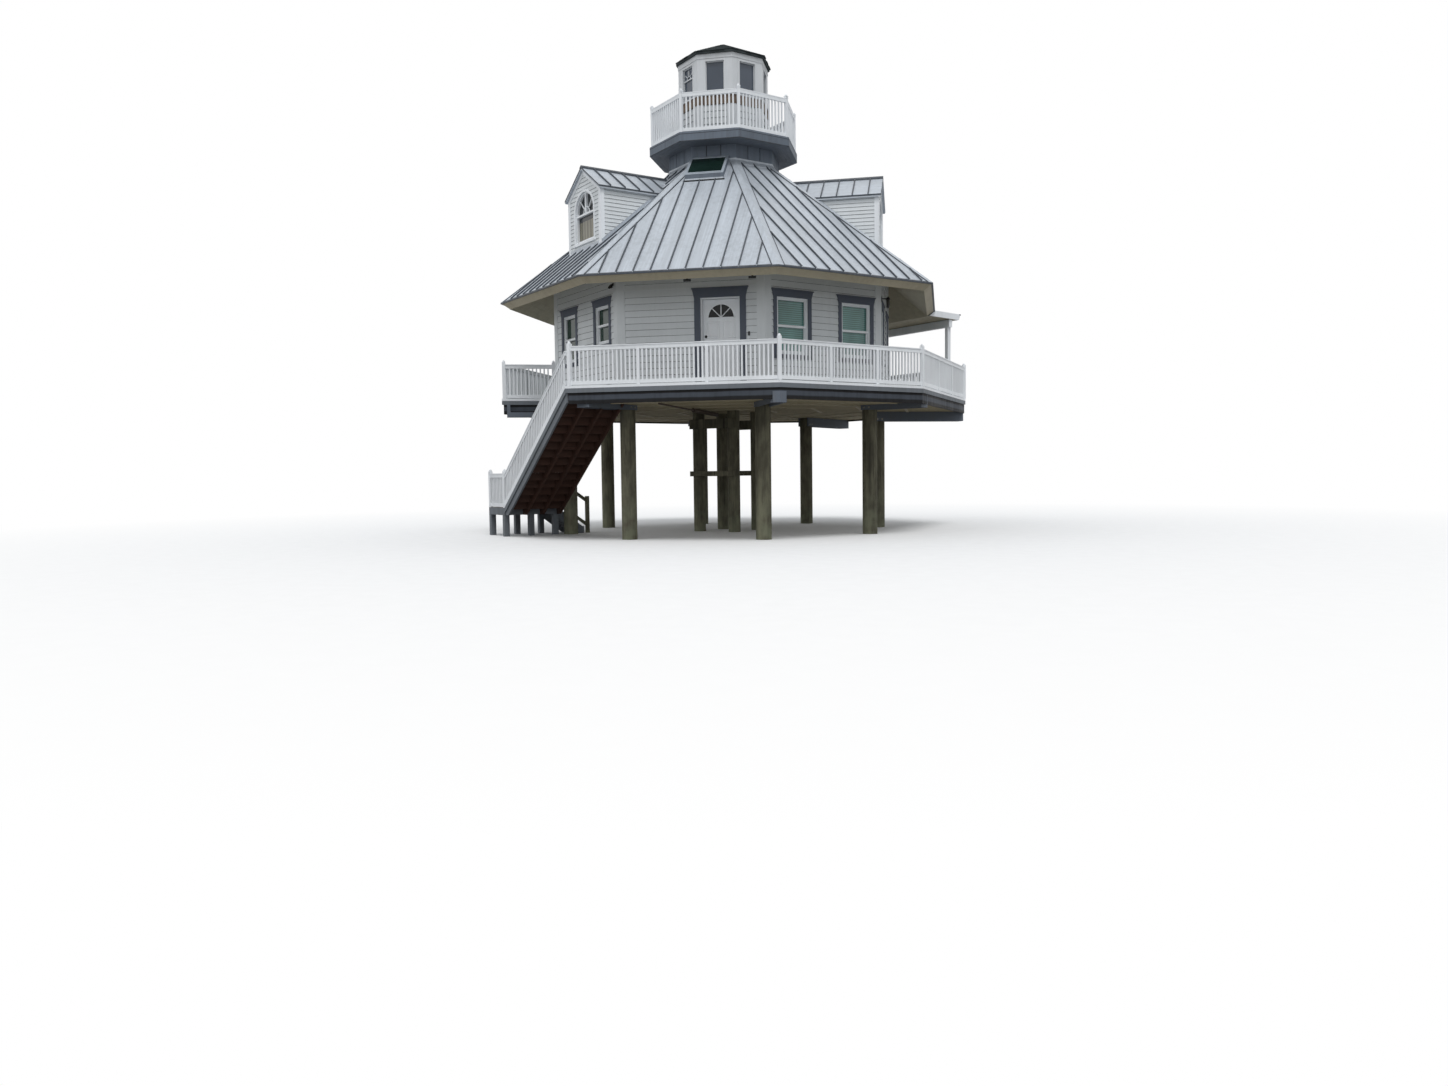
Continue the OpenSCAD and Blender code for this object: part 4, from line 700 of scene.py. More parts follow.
def metal(n, colour, rough=0.42, metallic=0.35, dirt=0.2):
    """Coated sheet metal: fine runs down the slope on a cloudy coat, and a slow buckle of the pans."""
    at = n.place()
    marks, runs = n.group(rain_streaks(), at), n.group(slope_runs(), at)
    tone = n.mix(n.remap(runs["Broad"], 0.3, 0.7), colour4(colour, 0.92), colour4(colour, 1.06))
    tone = n.mix(n.remap(runs["Fine"], 0.42, 0.66, 0.0, 0.26), tone, colour4(colour, 0.62))
    tone = n.mix(n.remap(runs["Fine"], 0.46, 0.30, 0.0, 0.30), tone, colour4(colour, 1.25))
    tone = board_shade(n, tone, 0.05)
    tone = n.mix(n.math("MULTIPLY", marks["Streak"], dirt), tone, (0.16, 0.17, 0.18, 1.0))
    return {"Base Color": tone, "Metallic": metallic,
            "Roughness": n.remap(runs["Broad"], 0.3, 0.7, rough - 0.06, rough + 0.08),
            "Normal": n.bump(n.noise(at, 2.2, 2.0), 0.25, 0.01)}


def pane(n, colour, cover=None, gloss=0.5):
    """Old window glass, seen as a tinted gloss. cover(nodes, tone) lays on what hangs close behind it."""
    at = n.place()
    cloud = n.stretched_noise(at, (1.2, 1.2, 0.7), 2.0)
    tone = n.mix(n.remap(cloud, 0.35, 0.65), colour4(colour, 0.8), colour4(colour, 1.15))
    return {"Base Color": cover(n, tone) if cover else tone, "IOR": 1.5, "Specular IOR Level": gloss,
            "Roughness": n.remap(n.noise(at, 14.0, 3.0), 0.3, 0.7, 0.04, 0.12)}


def blinds(n, tone):
    """Closed blinds behind the house windows: a wave up the height, with painted shade between the slats. Those of
    side 7 hang open, and their glass is dark."""
    wave = n.math("SINE", n.math("MULTIPLY", n.part(n.place(), 2), 2 * math.pi / BLIND_SLAT))
    # Painted shade: near black between the slats
    slats = n.mix(n.remap(wave, -1.0, -0.2, 0.65, 0.0), tone, (0.05, 0.06, 0.055, 1.0))
    dark = n.mix(1.0, tone, (0.20, 0.19, 0.15, 1.0), "MULTIPLY")
    return n.mix(beyond(n, WALL_A - WALL_T), slats, dark)


def curtain(n, tone):
    """A curtain in a dormer's lower pane: folds across it, up to its rod. The folds are drawn as bands of painted
    light and shade.
    """
    at = n.place()
    bend = n.math("MULTIPLY", n.stretched_noise(at, (1.0, 3.0, 0.4), 2.0), 9.0)
    fold = n.math("SINE", n.math("ADD", n.math("MULTIPLY", n.part(at, 1), 2 * math.pi / CURTAIN_FOLD), bend))
    # Painted light and shade across the folds
    cloth = n.mix(n.remap(fold, -1.0, 1.0), (0.13, 0.12, 0.085, 1.0), (0.24, 0.225, 0.165, 1.0))
    return n.mix(n.math("LESS_THAN", n.part(at, 2), CURTAIN_ROD_Z), tone, cloth)


def linear(code):
    """Linear colour of a six-figure web colour."""
    parts = [int(code[i:i + 2], 16) / 255 for i in (0, 2, 4)]
    return tuple(c / 12.92 if c <= 0.04045 else ((c + 0.055) / 1.055) ** 2.4 for c in parts)


def colour_property(name, code, use):
    return FloatVectorProperty(name=name, description=use, default=linear(code), size=3,
                               min=0.0, max=1.0, subtype="COLOR")


def length_property(name, default, low, high, use):
    return FloatProperty(name=name, description=use, default=default, min=low, max=high, unit="LENGTH")


class HouseColours(bpy.types.PropertyGroup):
    """Colours of the house's paints, metal, timber and glass."""
    white: colour_property("White paint", "EDF0F3", "Railings, frames, the door and trim")
    siding: colour_property("Siding", "D8DCDE", "Lap boards of the walls, dormers and lantern")
    slate: colour_property("Slate paint", "5B616D", "Casings of the windows and the door")
    beam: colour_property("Beam paint", "666D77", "Floor frame and beams")
    rim: colour_property("Rim paint", "464B53", "Rim of the floor frame behind the fascia")
    fascia: colour_property("Deck fascia", "71767C", "Fascia board round the deck and stair")
    walk: colour_property("Lantern walk", "6A737E", "Neck and walk under the lantern")
    soffit: colour_property("Soffit", "BFB69E", "Eaves, fascia and the ceiling under the house")
    roof: colour_property("Roof metal", "B9C0C8", "Standing-seam roofs")
    # Darker than the roof metal: painted shade along the seams' sides, under the drip edges and beside the hip caps
    seam: colour_property("Seam metal", "424850", "Standing seams and drip edges")
    pile: colour_property("Pile timber", "7A7764", "Weathered round piles")
    stair: colour_property("Stair timber", "52392F", "Treads and risers of the stair")
    plank: colour_property("Deck planks", "8B8781", "Boards of the deck")
    pane: colour_property("Window glass", "6B9B95", "House windows")
    dark_pane: colour_property("Dark glass", "4C5562", "Lantern windows")
    shingle: colour_property("Shingles", "3A4042", "Roof of the lantern")


class HouseSizes(bpy.types.PropertyGroup):
    """Sizes of the boards, seams and bars that dress the house."""
    course: length_property("Siding course", 0.155, 0.08, 0.3, "Height of a course of siding that shows")
    dormer_course: length_property("Dormer course", 0.097, 0.06, 0.2, "Height of a course on the dormers")
    lantern_course: length_property("Lantern course", 0.165, 0.08, 0.3, "Height of a course on the lantern")
    seam_step: length_property("Seam spacing", 0.410, 0.2, 0.8, "Distance between standing seams")
    seam_height: length_property("Seam height", 0.044, 0.015, 0.06, "Height of a standing seam, plumb")
    seam_width: length_property("Seam width", 0.028, 0.008, 0.05, "Width of a standing seam")
    plank: length_property("Plank width", 0.140, 0.08, 0.3, "Width of a deck plank")
    shingle_course: length_property("Shingle course", 0.110, 0.06, 0.3, "Height of a course of shingles")


def colours():
    return bpy.context.scene.beach_house_colours


def sizes():
    return bpy.context.scene.beach_house_sizes


def tint(colour, by=1.0):
    """Linear colour times by: of a colour property's name, a six-figure web colour or three numbers."""
    if isinstance(colour, str):
        colour = getattr(colours(), colour, None) or linear(colour)
    return tuple(np.multiply(colour, by))


DARK_WOOD = (0.075, 0.070, 0.050)
STAIR_DARK = (0.07, 0.04, 0.03)
STAIR_TURN = -math.pi / 4

# Each finish: its maker, what tint gets, and the maker's own settings
FINISHES = {
    "white_coat": (paint, ("white",), dict(rough=0.42, dirt=0.06)),
    "siding_paint": (paint, ("siding",), dict(dirt=0.06, shade=0.035)),
    "lantern_coat": (paint, ("white", 0.76), dict(rough=0.42, dirt=0.1)),
    "lantern_paint": (paint, ("siding", 0.80), dict(dirt=0.08, shade=0.04)),
    # Near black strips under the laps and on the walk's fascia: painted shade
    "lap_shadow_paint": (paint, ((0.055, 0.057, 0.060),), dict(rough=0.8, dirt=0.1, gloss=0.1)),
    # Near black strip just below the skylight's curb: painted shade
    "shadow_strip_paint": (paint, ("17191B",), dict(rough=0.6, dirt=0.1, gloss=0.2)),
    "slate_coat": (paint, ("slate",), dict(rough=0.6, dirt=0.15, dirt_colour=(0.16, 0.16, 0.16), gloss=0.2)),
    "beam_paint": (paint, ("beam",),
                   dict(rough=0.6, dirt=0.3, dirt_colour=(0.16, 0.155, 0.14), bump=0.4, gloss=0.2)),
    "rim_paint": (rim_paint_with_painted_shade, ("rim",), {}),
    "fascia_paint": (paint, ("fascia",),
                     dict(rough=0.6, dirt=0.3, dirt_colour=(0.12, 0.12, 0.11), bump=0.4, gloss=0.3)),
    "walk_paint": (paint, ("walk",),
                   dict(rough=0.6, dirt=0.3, dirt_colour=(0.09, 0.09, 0.10), shade=0.10, bump=0.4, gloss=0.3)),
    "soffit_paint": (paint, ("soffit",), dict(rough=0.6, dirt=0.2, dirt_colour=(0.24, 0.21, 0.15))),
    # The soffit's cream made darker and greener: painted shade on the ceiling under the house
    "shaded_ceiling_paint": (paint, ("soffit", (0.82, 0.78, 0.66)),
                      dict(rough=0.7, dirt=0.4, dirt_colour=(0.20, 0.17, 0.12), gloss=0.2)),
    "shingle": (paint, ("shingle",),
                dict(rough=0.85, dirt=0.3, dirt_colour=(0.10, 0.12, 0.11), shade=0.25, bump=0.8, gloss=0.2)),
    "pipe_brown": (paint, ("4A3A30",), dict(rough=0.6, dirt=0.3)),
    "roof_metal": (metal, ("roof",), {}),
    "rim_metal": (metal, ("A3ACB6",), dict(rough=0.4, metallic=0.4, dirt=0.1)),
    "seam_metal_painted_shade": (metal, ("seam",), dict(rough=0.5, metallic=0.3, dirt=0.3)),
    "dark_iron": (metal, ("2A2B2C",), dict(rough=0.5, metallic=0.6, dirt=0.1)),
    "steel": (metal, ("8C8A84",), dict(rough=0.35, metallic=0.9, dirt=0.3)),
    "pile_timber": (timber, ("pile",), dict(dark=DARK_WOOD, green=0.5, stain=0.8)),
    "stair_timber": (timber, ("stair",), dict(dark=STAIR_DARK, along="x", turn=STAIR_TURN)),
    "stair_board": (timber, ("stair",), dict(dark=STAIR_DARK, along="grain")),
    "band_timber": (timber, ((0.20, 0.15, 0.11),), dict(dark=(0.08, 0.05, 0.04))),
    "plank_timber": (timber, ("plank",), dict(dark=(0.16, 0.15, 0.14), along="grain", rough=0.75)),
    "stringer_finish": (half_painted, ("fascia",), dict(wood="stair", dark=STAIR_DARK, from_a=STAIR_A - 0.081)),
    "blind_glass": (pane, ("pane",), dict(cover=blinds)),
    "dark_glass": (pane, ("dark_pane",), {}),
    "dormer_glass": (pane, ("1E2227",), dict(cover=curtain)),
    "roof_glass": (pane, ("13241F",), {}),
    "fan_glass": (pane, ("1B1C1E",), dict(gloss=0.25)),
    "lamp_glass": (pane, ("33302B",), dict(gloss=0.25)),
}

# The frame's nodes by finish
FRAME_FINISHES = {
    "pile_timber": "outer_piles inner_piles inner_beams lower_stair_rail",
    "beam_paint": "radial_beams house_floor deck_boards",
    "shaded_ceiling_paint": "underside_ceiling",
    "rim_paint": "floor_frame lantern_neck",
    "fascia_paint": "deck_fascia stair_landing lower_stair",
    "white_coat": "deck_curb deck_posts front_rail right_rails porch_rail rear_rails left_end_rail stair_rail "
                  "landing_rail door_frame door_leaf window_frames dormer_windows lantern_rail porch_frame",
    "stringer_finish": "stair_stringers",
    "stair_timber": "stair_treads stair_risers",
    "siding_paint": "front_wall right_front_wall right_wall left_front_wall rear_walls corner_boards dormer_walls",
    "slate_coat": "door_casing window_casings",
    "steel": "door_hinges",
    "fan_glass": "door_fanlight",
    "blind_glass": "window_glass",
    "roof_metal": "main_roof hip_caps dormer_roofs porch_roof",
    "soffit_paint": "roof_lining",
    "dormer_glass": "dormer_glass",
    "walk_paint": "skylight_frame lantern_walk",
    "roof_glass": "skylight_glass",
    "lantern_paint": "lantern_walls",
    "band_timber": "lantern_band",
    "dark_glass": "lantern_glass",
    "shingle": "lantern_roof",
    "dark_iron": "wall_light",
}


def finish(key):
    """The material of a finish, made the first time it is asked for: one Principled BSDF, fed by the maker."""
    if key not in bpy.data.materials:
        maker, colour, settings = FINISHES[key]
        material = bpy.data.materials.new(key)
        material.use_nodes = True
        material.node_tree.nodes.clear()
        n = Nodes(material.node_tree)
        shader = n.add("BsdfPrincipled", maker(n, tint(*colour), **settings))
        n.add("OutputMaterial", {"Surface": shader.outputs[0]})
    return bpy.data.materials[key]


class HOUSE_OT_stage(bpy.types.Operator):
    """Makes the floor, the lamps, the world and the camera."""
    bl_idname = "house.stage"
    bl_label = "Stage, lamps and camera"

    def execute(self, context):
        self.floor(context.scene)
        self.world(context.scene)
        self.lamps(context.scene)
        self.camera(context.scene)
        return {"FINISHED"}

    def floor(self, scene):
        """A round pale floor: rings of growing radius at height zero, which fades to white far out. What it
        throws back on the house is darker than what it shows."""
        count = 96
        t = 2 * math.pi * np.arange(count) / count
        radii = np.array([0.0001, 10.0, 30.0, 400.0])
        points = radii[:, None, None] * np.stack([np.cos(t), np.sin(t), 0 * t], -1)
        index = np.arange(len(radii) * count).reshape(-1, count)
        quads = np.stack([index[:-1], index[1:], np.roll(index[1:], -1, 1), np.roll(index[:-1], -1, 1)], -1)
        mesh = bpy.data.meshes.new("studio_floor")
        mesh.from_pydata(points.reshape(-1, 3).tolist(), [], quads.reshape(-1, 4).tolist())
        material = bpy.data.materials.new("studio_floor")
        material.use_nodes = True
        material.node_tree.nodes.clear()
        n = Nodes(material.node_tree)
        at = n.place()
        far = n.add("VectorMath", {0: at}, operation="LENGTH").outputs["Value"]
        path = n.add("LightPath").outputs
        grain = n.remap(n.noise(at, 3.0, 3.0), 0.3, 0.7, 0.80, 0.83)
        shown = n.math("MULTIPLY", grain, n.remap(path["Is Camera Ray"], 0.0, 1.0, FLOOR_BOUNCE, 1.0))
        pale = n.add("BsdfDiffuse", {"Color": n.add("CombineColor", {0: shown, 1: shown, 2: shown}).outputs[0]})
        white = n.add("Emission", {"Color": (1.0, 1.0, 1.0, 1.0), "Strength": 1.0})
        seen = n.math("MAXIMUM", path["Is Camera Ray"], path["Is Glossy Ray"])
        blend = n.math("MULTIPLY", n.remap(far, 9.0, 26.0), seen)
        both = n.add("MixShader", {0: blend, 1: pale.outputs[0], 2: white.outputs[0]})
        n.add("OutputMaterial", {"Surface": both.outputs[0]})
        mesh.materials.append(material)
        floor = bpy.data.objects.new("studio_floor", mesh)
        scene.collection.objects.link(floor)

    def world(self, scene):
        """Plain pale light all round; the camera, gloss and glass see white."""
        world = bpy.data.worlds.new("studio")
        world.use_nodes = True
        world.node_tree.nodes.clear()
        n = Nodes(world.node_tree)
        path = n.add("LightPath").outputs
        seen = n.math("MAXIMUM", path["Is Camera Ray"], path["Is Glossy Ray"])
        seen = n.math("MAXIMUM", seen, path["Is Transmission Ray"])
        soft = n.add("Background", {"Color": (0.94, 0.97, 1.0, 1.0), "Strength": WORLD_LEVEL})
        white = n.add("Background", {"Color": (1.0, 1.0, 1.0, 1.0), "Strength": 1.0})
        both = n.add("MixShader", {0: seen, 1: soft.outputs[0], 2: white.outputs[0]})
        n.add("OutputWorld", {"Surface": both.outputs[0]})
        scene.world = world
        scene.view_settings.view_transform = "Standard"

    def lamps(self, scene):
        """Two broad lamps: a high one from the right, and a weak one from the left."""
        for name, strength, angle, turn in LAMPS:
            light = bpy.data.lights.new(name, "SUN")
            light.energy = strength
            light.angle = math.radians(angle)
            lamp = bpy.data.objects.new(name, light)
            lamp.rotation_euler = [math.radians(v) for v in turn]
            scene.collection.objects.link(lamp)

    def camera(self, scene):
        """The camera of the photograph. Its axes are turned by yaw and pitch, and rolled about the way ahead."""
        pitch, roll, yaw = CAMERA_TURN
        ahead = np.array([math.sin(yaw) * math.cos(pitch), math.cos(yaw) * math.cos(pitch), math.sin(pitch)])
        right = np.array([math.cos(yaw), -math.sin(yaw), 0.0])
        up = np.cross(right, ahead)
        across = math.cos(roll) * right + math.sin(roll) * up
        upward = -math.sin(roll) * right + math.cos(roll) * up
        data = bpy.data.cameras.new("camera")
        data.sensor_fit = "HORIZONTAL"
        data.sensor_width = SENSOR
        data.lens = SENSOR * FOCAL_PIXELS / PHOTO_WIDTH
        data.clip_end = 500.0
        camera = bpy.data.objects.new("camera", data)
        turn = Matrix([[across[i], upward[i], -ahead[i]] for i in range(3)]).to_4x4()
        x, y, z = CAMERA_PLACE
        camera.matrix_world = Matrix.Translation((x + AXIS_X, y + AXIS_Y, z)) @ turn
        scene.collection.objects.link(camera)
        scene.camera = camera


class HOUSE_OT_frame_finishes(bpy.types.Operator):
    """Gives each solid of the frame its own paint, metal, timber or glass."""
    bl_idname = "house.frame_finishes"
    bl_label = "Finishes of the frame"

    def execute(self, context):
        for key, nodes in FRAME_FINISHES.items():
            for node in nodes.split():
                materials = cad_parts[node].data.materials
                materials.clear()
                materials.append(finish(key))
        return {"FINISHED"}


class HOUSE_OT_siding(bpy.types.Operator):
    """Lays lap boards over the eight house walls, round the door and windows."""
    bl_idname = "house.siding"
    bl_label = "House siding"

    def execute(self, context):
        shape, joints = Shape(11), Shape(15)
        top = roof_under(WALL_A + 0.02)
        for k in range(SIDES):
            openings = [(x - w / 2 - CASING_W, x + w / 2 + CASING_W, z - CASING_W, HEAD_Z + HEAD_CASING)
                        for x, w, z in windows(k)]
            if k == 0:
                openings = [(DOOR_X - DOOR_CASING_HALF, DOOR_X + DOOR_CASING_HALF, 0.0, HEAD_Z + DOOR_HEAD_CASING)]
            reach = half_side(WALL_A) - CORNER_BOARD
            lap_boards(shape, joints, lambda x, out, z, k=k: place(k, WALL_A + out, x, z),
                       lambda z1, z2: clear_of(-reach, reach, openings, z1, z2),
                       DECK_Z, top, CURB_Z + 0.004, sizes().course, [v for o in openings for v in o[2:]], WALL_LAP)
        shape.finish("house_siding", "siding_paint", "siding")
        joints.finish("house_siding_shadow_lines", "lap_shadow_paint", "siding")
        return {"FINISHED"}


def built_over(k, a, x):
    """True where a dormer's roof or the skylight stands over points of side k's roof."""
    over = np.zeros(np.shape(a), bool)
    if k in DORMER_SIDES:
        across = np.abs(x - DORMER_X)
        over |= ((across < DORMER_HALF + DORMER_OVER) & (a < DORMER_A + DORMER_OVER)
                 & (roof_top(a) < DORMER_RIDGE + RIB_H - DORMER_RISE * across))
    if k == 0:
        over |= (np.abs(x - SKY_X) < SKY_HALF) & (a > SKY_IN) & (a < SKY_OUT)
    return over


def free_runs(k, a1, a2, x1, x2):
    """Stretches of a line up side k's roof that nothing stands on: rows of side, both distances and both x."""
    t = np.linspace(0.0, 1.0, 900)
    a, x = a1 + (a2 - a1) * t, x1 + (x2 - x1) * t
    free = np.concatenate([[False], ~built_over(k, a, x), [False]])
    turns = np.flatnonzero(free[1:] != free[:-1]).reshape(-1, 2)
    return [(k, a[i], a[j - 1], x[i], x[j - 1]) for i, j in turns if abs(a[i] - a[j - 1]) > 0.06]


def up_roof(shape, rows, across, up):
    """Lofts a profile of two lists, across and up from the metal, along each row of free_runs."""
    k, a1, a2, x1, x2 = np.array(rows, float).T[:, :, None]
    across, up = np.asarray(across, float), np.asarray(up, float)
    shape.loft(np.stack([place(k, a, x + across, roof_top(a) + up) for a, x in ((a1, x1), (a2, x2))], axis=1))


class HOUSE_OT_roof_seams(bpy.types.Operator):
    """Covers each seam with folded metal: a box of the seam's width with its upper edges broken, run straight
    up the slope. Adds the folds beside the hip caps and the drip edge of the eave."""
    bl_idname = "house.roof_seams"
    bl_label = "Roof seams"

    def execute(self, context):
        s = sizes()
        w, h, fold = s.seam_width / 2, s.seam_height, 0.003
        self.across = np.array([-w, w, w, w - fold, fold - w, -w])
        self.up = np.array([-0.002, -0.002, h - fold, h, h, h - fold])
        shape = Shape(12)
        up_roof(shape, self.slope_rows(s.seam_step), self.across, self.up)
        self.dormers(shape, s.seam_step)
        self.porch(shape, s.seam_step)
        # The seams' dark metal is painted shade along their sides
        shape.finish("roof_seams", "seam_metal_painted_shade", "metal_roof")
        self.hips()
        # The drip edge's dark metal is painted shade under the eave's edge
        drip = Shape(13)
        drip.band([k for k in range(SIDES) if k != 3],
                  [(EAVE_A - 0.030, EAVE_Z + 0.030), (EAVE_A + 0.009, EAVE_Z + 0.004),
                   (EAVE_A + 0.009, EAVE_Z - 0.032), (EAVE_A + 0.003, EAVE_Z - 0.032),
                   (EAVE_A - 0.0385, EAVE_Z - 0.0295)], 0.0005)
        drip.finish("eave_drip_edges", "seam_metal_painted_shade", "metal_roof")
        return {"FINISHED"}

    def slope_rows(self, step):
        rows = []
        for k in range(SIDES):
            shift = step / 2 if k % 2 == 0 else SEAM_SHIFT
            for i in range(-6, 7):
                x = i * step + shift
                inner = max(NECK_A, (abs(x) + 0.012 + HIP_CAP) / math.tan(HALF)) + 0.001
                if inner < EAVE_A - step / 2:
                    rows += free_runs(k, EAVE_A - 0.001, inner, x, x)
        return rows

    def dormers(self, shape, step):
        """Seams down both slopes of each dormer, from the ridge to the eave or to the main roof."""
        side = np.repeat(DORMER_SIDES, 10)
        hand = np.tile(np.repeat([1.0, -1.0], 5), 2)
        a = np.tile(DORMER_A - 0.250 - step * np.arange(5), 4)
        far = np.minimum(DORMER_HALF + DORMER_OVER + 0.001, (DORMER_RIDGE + RIB_H - roof_top(a)) / DORMER_RISE)
        rings = [place(side[:, None], a[:, None] + self.across, (DORMER_X + hand * x)[:, None],
                       (DORMER_RIDGE - DORMER_RISE * x)[:, None] + self.up) for x in (0.058 + 0 * far, far)]
        shape.loft(np.stack(rings, axis=1))

    def porch(self, shape, step):
        """Seams of the porch roof, from the eave to its outer edge."""
        x = (np.arange(-5, 6) * step + SEAM_SHIFT)[:, None]
        rings = [place(3, a, x + self.across, z + self.up)
                 for a, z in ((EAVE_A - 0.004, EAVE_Z + 0.003), (PORCH_A + 0.001, PORCH_Z))]
        shape.loft(np.stack(rings, axis=1))

    def hips(self):
        """Folds beside the hip caps, which lie half a side's length less the cap's width from the middle. Their dark
        metal is painted shade beside the caps.
        """
        shape = Shape(14)
        low, high = EAVE_A + 0.002, NECK_A + 0.004
        rows = []
        for k in range(SIDES):
            for hand in (-1, 1):
                rows += free_runs(k, low, high, hand * (half_side(low) - HIP_CAP - 0.008),
                                  hand * (half_side(high) - HIP_CAP - 0.008))
        up_roof(shape, rows, [-0.010, 0.010, 0.010, -0.010], [-0.002, -0.002, 0.024, 0.024])
        shape.finish("hip_folds", "seam_metal_painted_shade", "metal_roof")


def spokes(shape, put, z0, r1, r2, degrees, w, out1, out2):
    """Straight bars of width w out from the middle (0, z0), from radius r1 to r2 at each angle."""
    t = np.radians(np.asarray(degrees, float))[:, None]
    side = np.array([-w / 2, w / 2, w / 2, -w / 2])
    out = np.array([out1, out1, out2, out2])
    shape.loft(np.stack([put(r * np.cos(t) - side * np.sin(t), out + 0 * t, z0 + r * np.sin(t) + side * np.cos(t))
                         for r in (r1, r2)], axis=1))


def corner_wraps(shape, a, w, t, z1, z2, corners=range(SIDES)):
    """Boards that wrap the corners of the octagon at a: w along both sides and t thick."""
    outlines = []
    for k in corners:
        j = (k - 1) % SIDES
        along_j, along_k = [np.array([math.cos(2 * HALF * m), math.sin(2 * HALF * m)]) for m in (j, k)]
        p, out_j, out_k = corner(a, k), outward(j)[:2], outward(k)[:2]
        outlines.append([p, p - w * along_j, p - w * along_j + t * out_j, corner(a + t, k),
                         p + w * along_k + t * out_k, p + w * along_k])
    shape.slabs(at_axis(np.array(outlines), z1), (0.0, 0.0, z2 - z1))

class HOUSE_OT_dormers(bpy.types.Operator):
    """Dresses the dormers: lap boards between the corner boards, the casing's two half circles on straight legs,
    the fan of bars in the arch, rake boards, ridge caps and flashings."""
    bl_idname = "house.dormers"
    bl_label = "Dormers"

    def execute(self, context):
        boards, trim, metal_parts, flashing, joints = [Shape(seed) for seed in range(21, 26)]
        for k in DORMER_SIDES:
            self.siding(boards, joints, k)
            self.trim(trim, k)
            self.edges(metal_parts, k)
            self.flashing(flashing, k)
        boards.finish("dormer_siding", "siding_paint", "siding")
        joints.finish("dormer_siding_shadow_lines", "lap_shadow_paint", "siding")
        trim.finish("dormer_trim", "white_coat", "white_paint")
        metal_parts.finish("dormer_edges", "seam_metal_painted_shade", "metal_roof")
        flashing.finish("dormer_flashing", "roof_metal", "metal_roof")
        return {"FINISHED"}

    def siding(self, shape, joints, k):
        step, foot, top = sizes().dormer_course, roof_top(DORMER_A), DORMER_RIDGE - DORMER_ROOF_T
        hole_r = ARCH_HALF + 0.045

        def reach(z):
            return max(0.0, min(DORMER_HALF - DORMER_BOARD, (top - z) / DORMER_RISE))

        def hole(z):
            return math.sqrt(max(0.0, hole_r ** 2 - max(0.0, z - ARCH_SPRING) ** 2))

        def front(z1, z2):
            if z2 <= ARCH_SILL:
                return [(-reach(z1), -reach(z2), reach(z1), reach(z2))]
            return [(-reach(z1), -reach(z2), -hole(z1), -hole(z2)), (hole(z1), hole(z2), reach(z1), reach(z2))]

        def cheek(z1, z2):
            ends = [max(DORMER_BOARD + 0.0005, DORMER_A - roof_reach(z)) for z in (z1, z2)]
            return [(DORMER_BOARD, DORMER_BOARD, *ends)]

        lap_boards(shape, joints, lambda x, out, z: place(k, DORMER_A + out, DORMER_X + x, z), front,
                   foot, top - 0.02, foot + 0.03, step, [ARCH_SILL, ARCH_SPRING, ARCH_SPRING + hole_r])
        for hand in (-1, 1):
            lap_boards(shape, joints,
                       lambda s, out, z: place(k, DORMER_A - s, DORMER_X + hand * (DORMER_HALF + out), z), cheek,
                       foot + 0.02, DORMER_EAVE_Z, foot + 0.03, step)

    def pair(self, hand, near, far):
        """The x of two distances from the dormer's middle on one hand, in rising order."""
        return sorted([DORMER_X + hand * near, DORMER_X + hand * far])

    def rake(self, shape, k, hand, a, z, reach):
        """One profile of a and z, carried from the ridge down the slope to the reach."""
        shape.loft(np.stack([place(k, a, DORMER_X + hand * x, z - DORMER_RISE * x) for x in (0.0, reach)]))

    def trim(self, shape, k):
        def put(x, out, z):
            return place(k, DORMER_A + out, DORMER_X + x, z)

        foot, top, t = roof_top(DORMER_A), DORMER_RIDGE - DORMER_ROOF_T, 0.022
        edge, head = DORMER_HALF + t, DORMER_EAVE_Z - 0.015
        for hand in (-1, 1):
            shape.posts(k, DORMER_A, DORMER_A + t, *self.pair(hand, DORMER_HALF - DORMER_BOARD, edge),
                        foot - 0.01, head)
            shape.posts(k, DORMER_A - DORMER_BOARD, DORMER_A, *self.pair(hand, DORMER_HALF, edge), foot - 0.01, head)
            self.rake(shape, k, hand, DORMER_A + np.array([0.0, 0.024, 0.024, 0.0]),
                      np.array([top, top, top - 0.110, top - 0.110]), 0.920)
        arch_band(shape, put, ARCH_HALF - 0.004, ARCH_HALF + 0.050, ARCH_SILL, ARCH_SPRING, -0.004, 0.024)
        shape.blocks(k, DORMER_A - 0.015, DORMER_A + 0.048, DORMER_X - 0.610, DORMER_X + 0.610,
                     ARCH_SILL - 0.045, ARCH_SILL + 0.004)
        arch_band(shape, put, 0.150, 0.172, ARCH_SPRING, ARCH_SPRING, *FAN_BARS)
        spokes(shape, put, ARCH_SPRING, 0.165, ARCH_HALF - 0.030, [45, 135], 0.022, *FAN_BARS)
        shape.blocks(k, DORMER_A - 0.075, DORMER_A - 0.035, DORMER_X - 0.470, DORMER_X + 0.470,
                     ARCH_SILL + 0.044, ARCH_SILL + 0.080)

    def edges(self, shape, k):
        front, far, fold = DORMER_A + DORMER_OVER, DORMER_HALF + DORMER_OVER, 0.006
        x = np.array([-0.075, 0.0, 0.075, 0.075, 0.0, -0.075])
        z = DORMER_RIDGE - DORMER_RISE * np.abs(x) + np.array([-0.002, -0.002, -0.002, 0.040, 0.044, 0.040])
        ends = (front + 0.008, roof_reach(DORMER_RIDGE) - 0.02)
        shape.loft(np.stack([place(k, a, DORMER_X + x, z) for a in ends]))
        eave = DORMER_RIDGE - DORMER_RISE * far
        for hand in (-1, 1):
            self.rake(shape, k, hand, front + np.array([-0.001, 0.007, 0.007, -0.001]),
                      DORMER_RIDGE + np.array([0.004, 0.004, -0.036, -0.036]), far + fold)
            shape.blocks(k, roof_reach(eave), front, *self.pair(hand, far, far + fold), eave - 0.036, eave + 0.004)

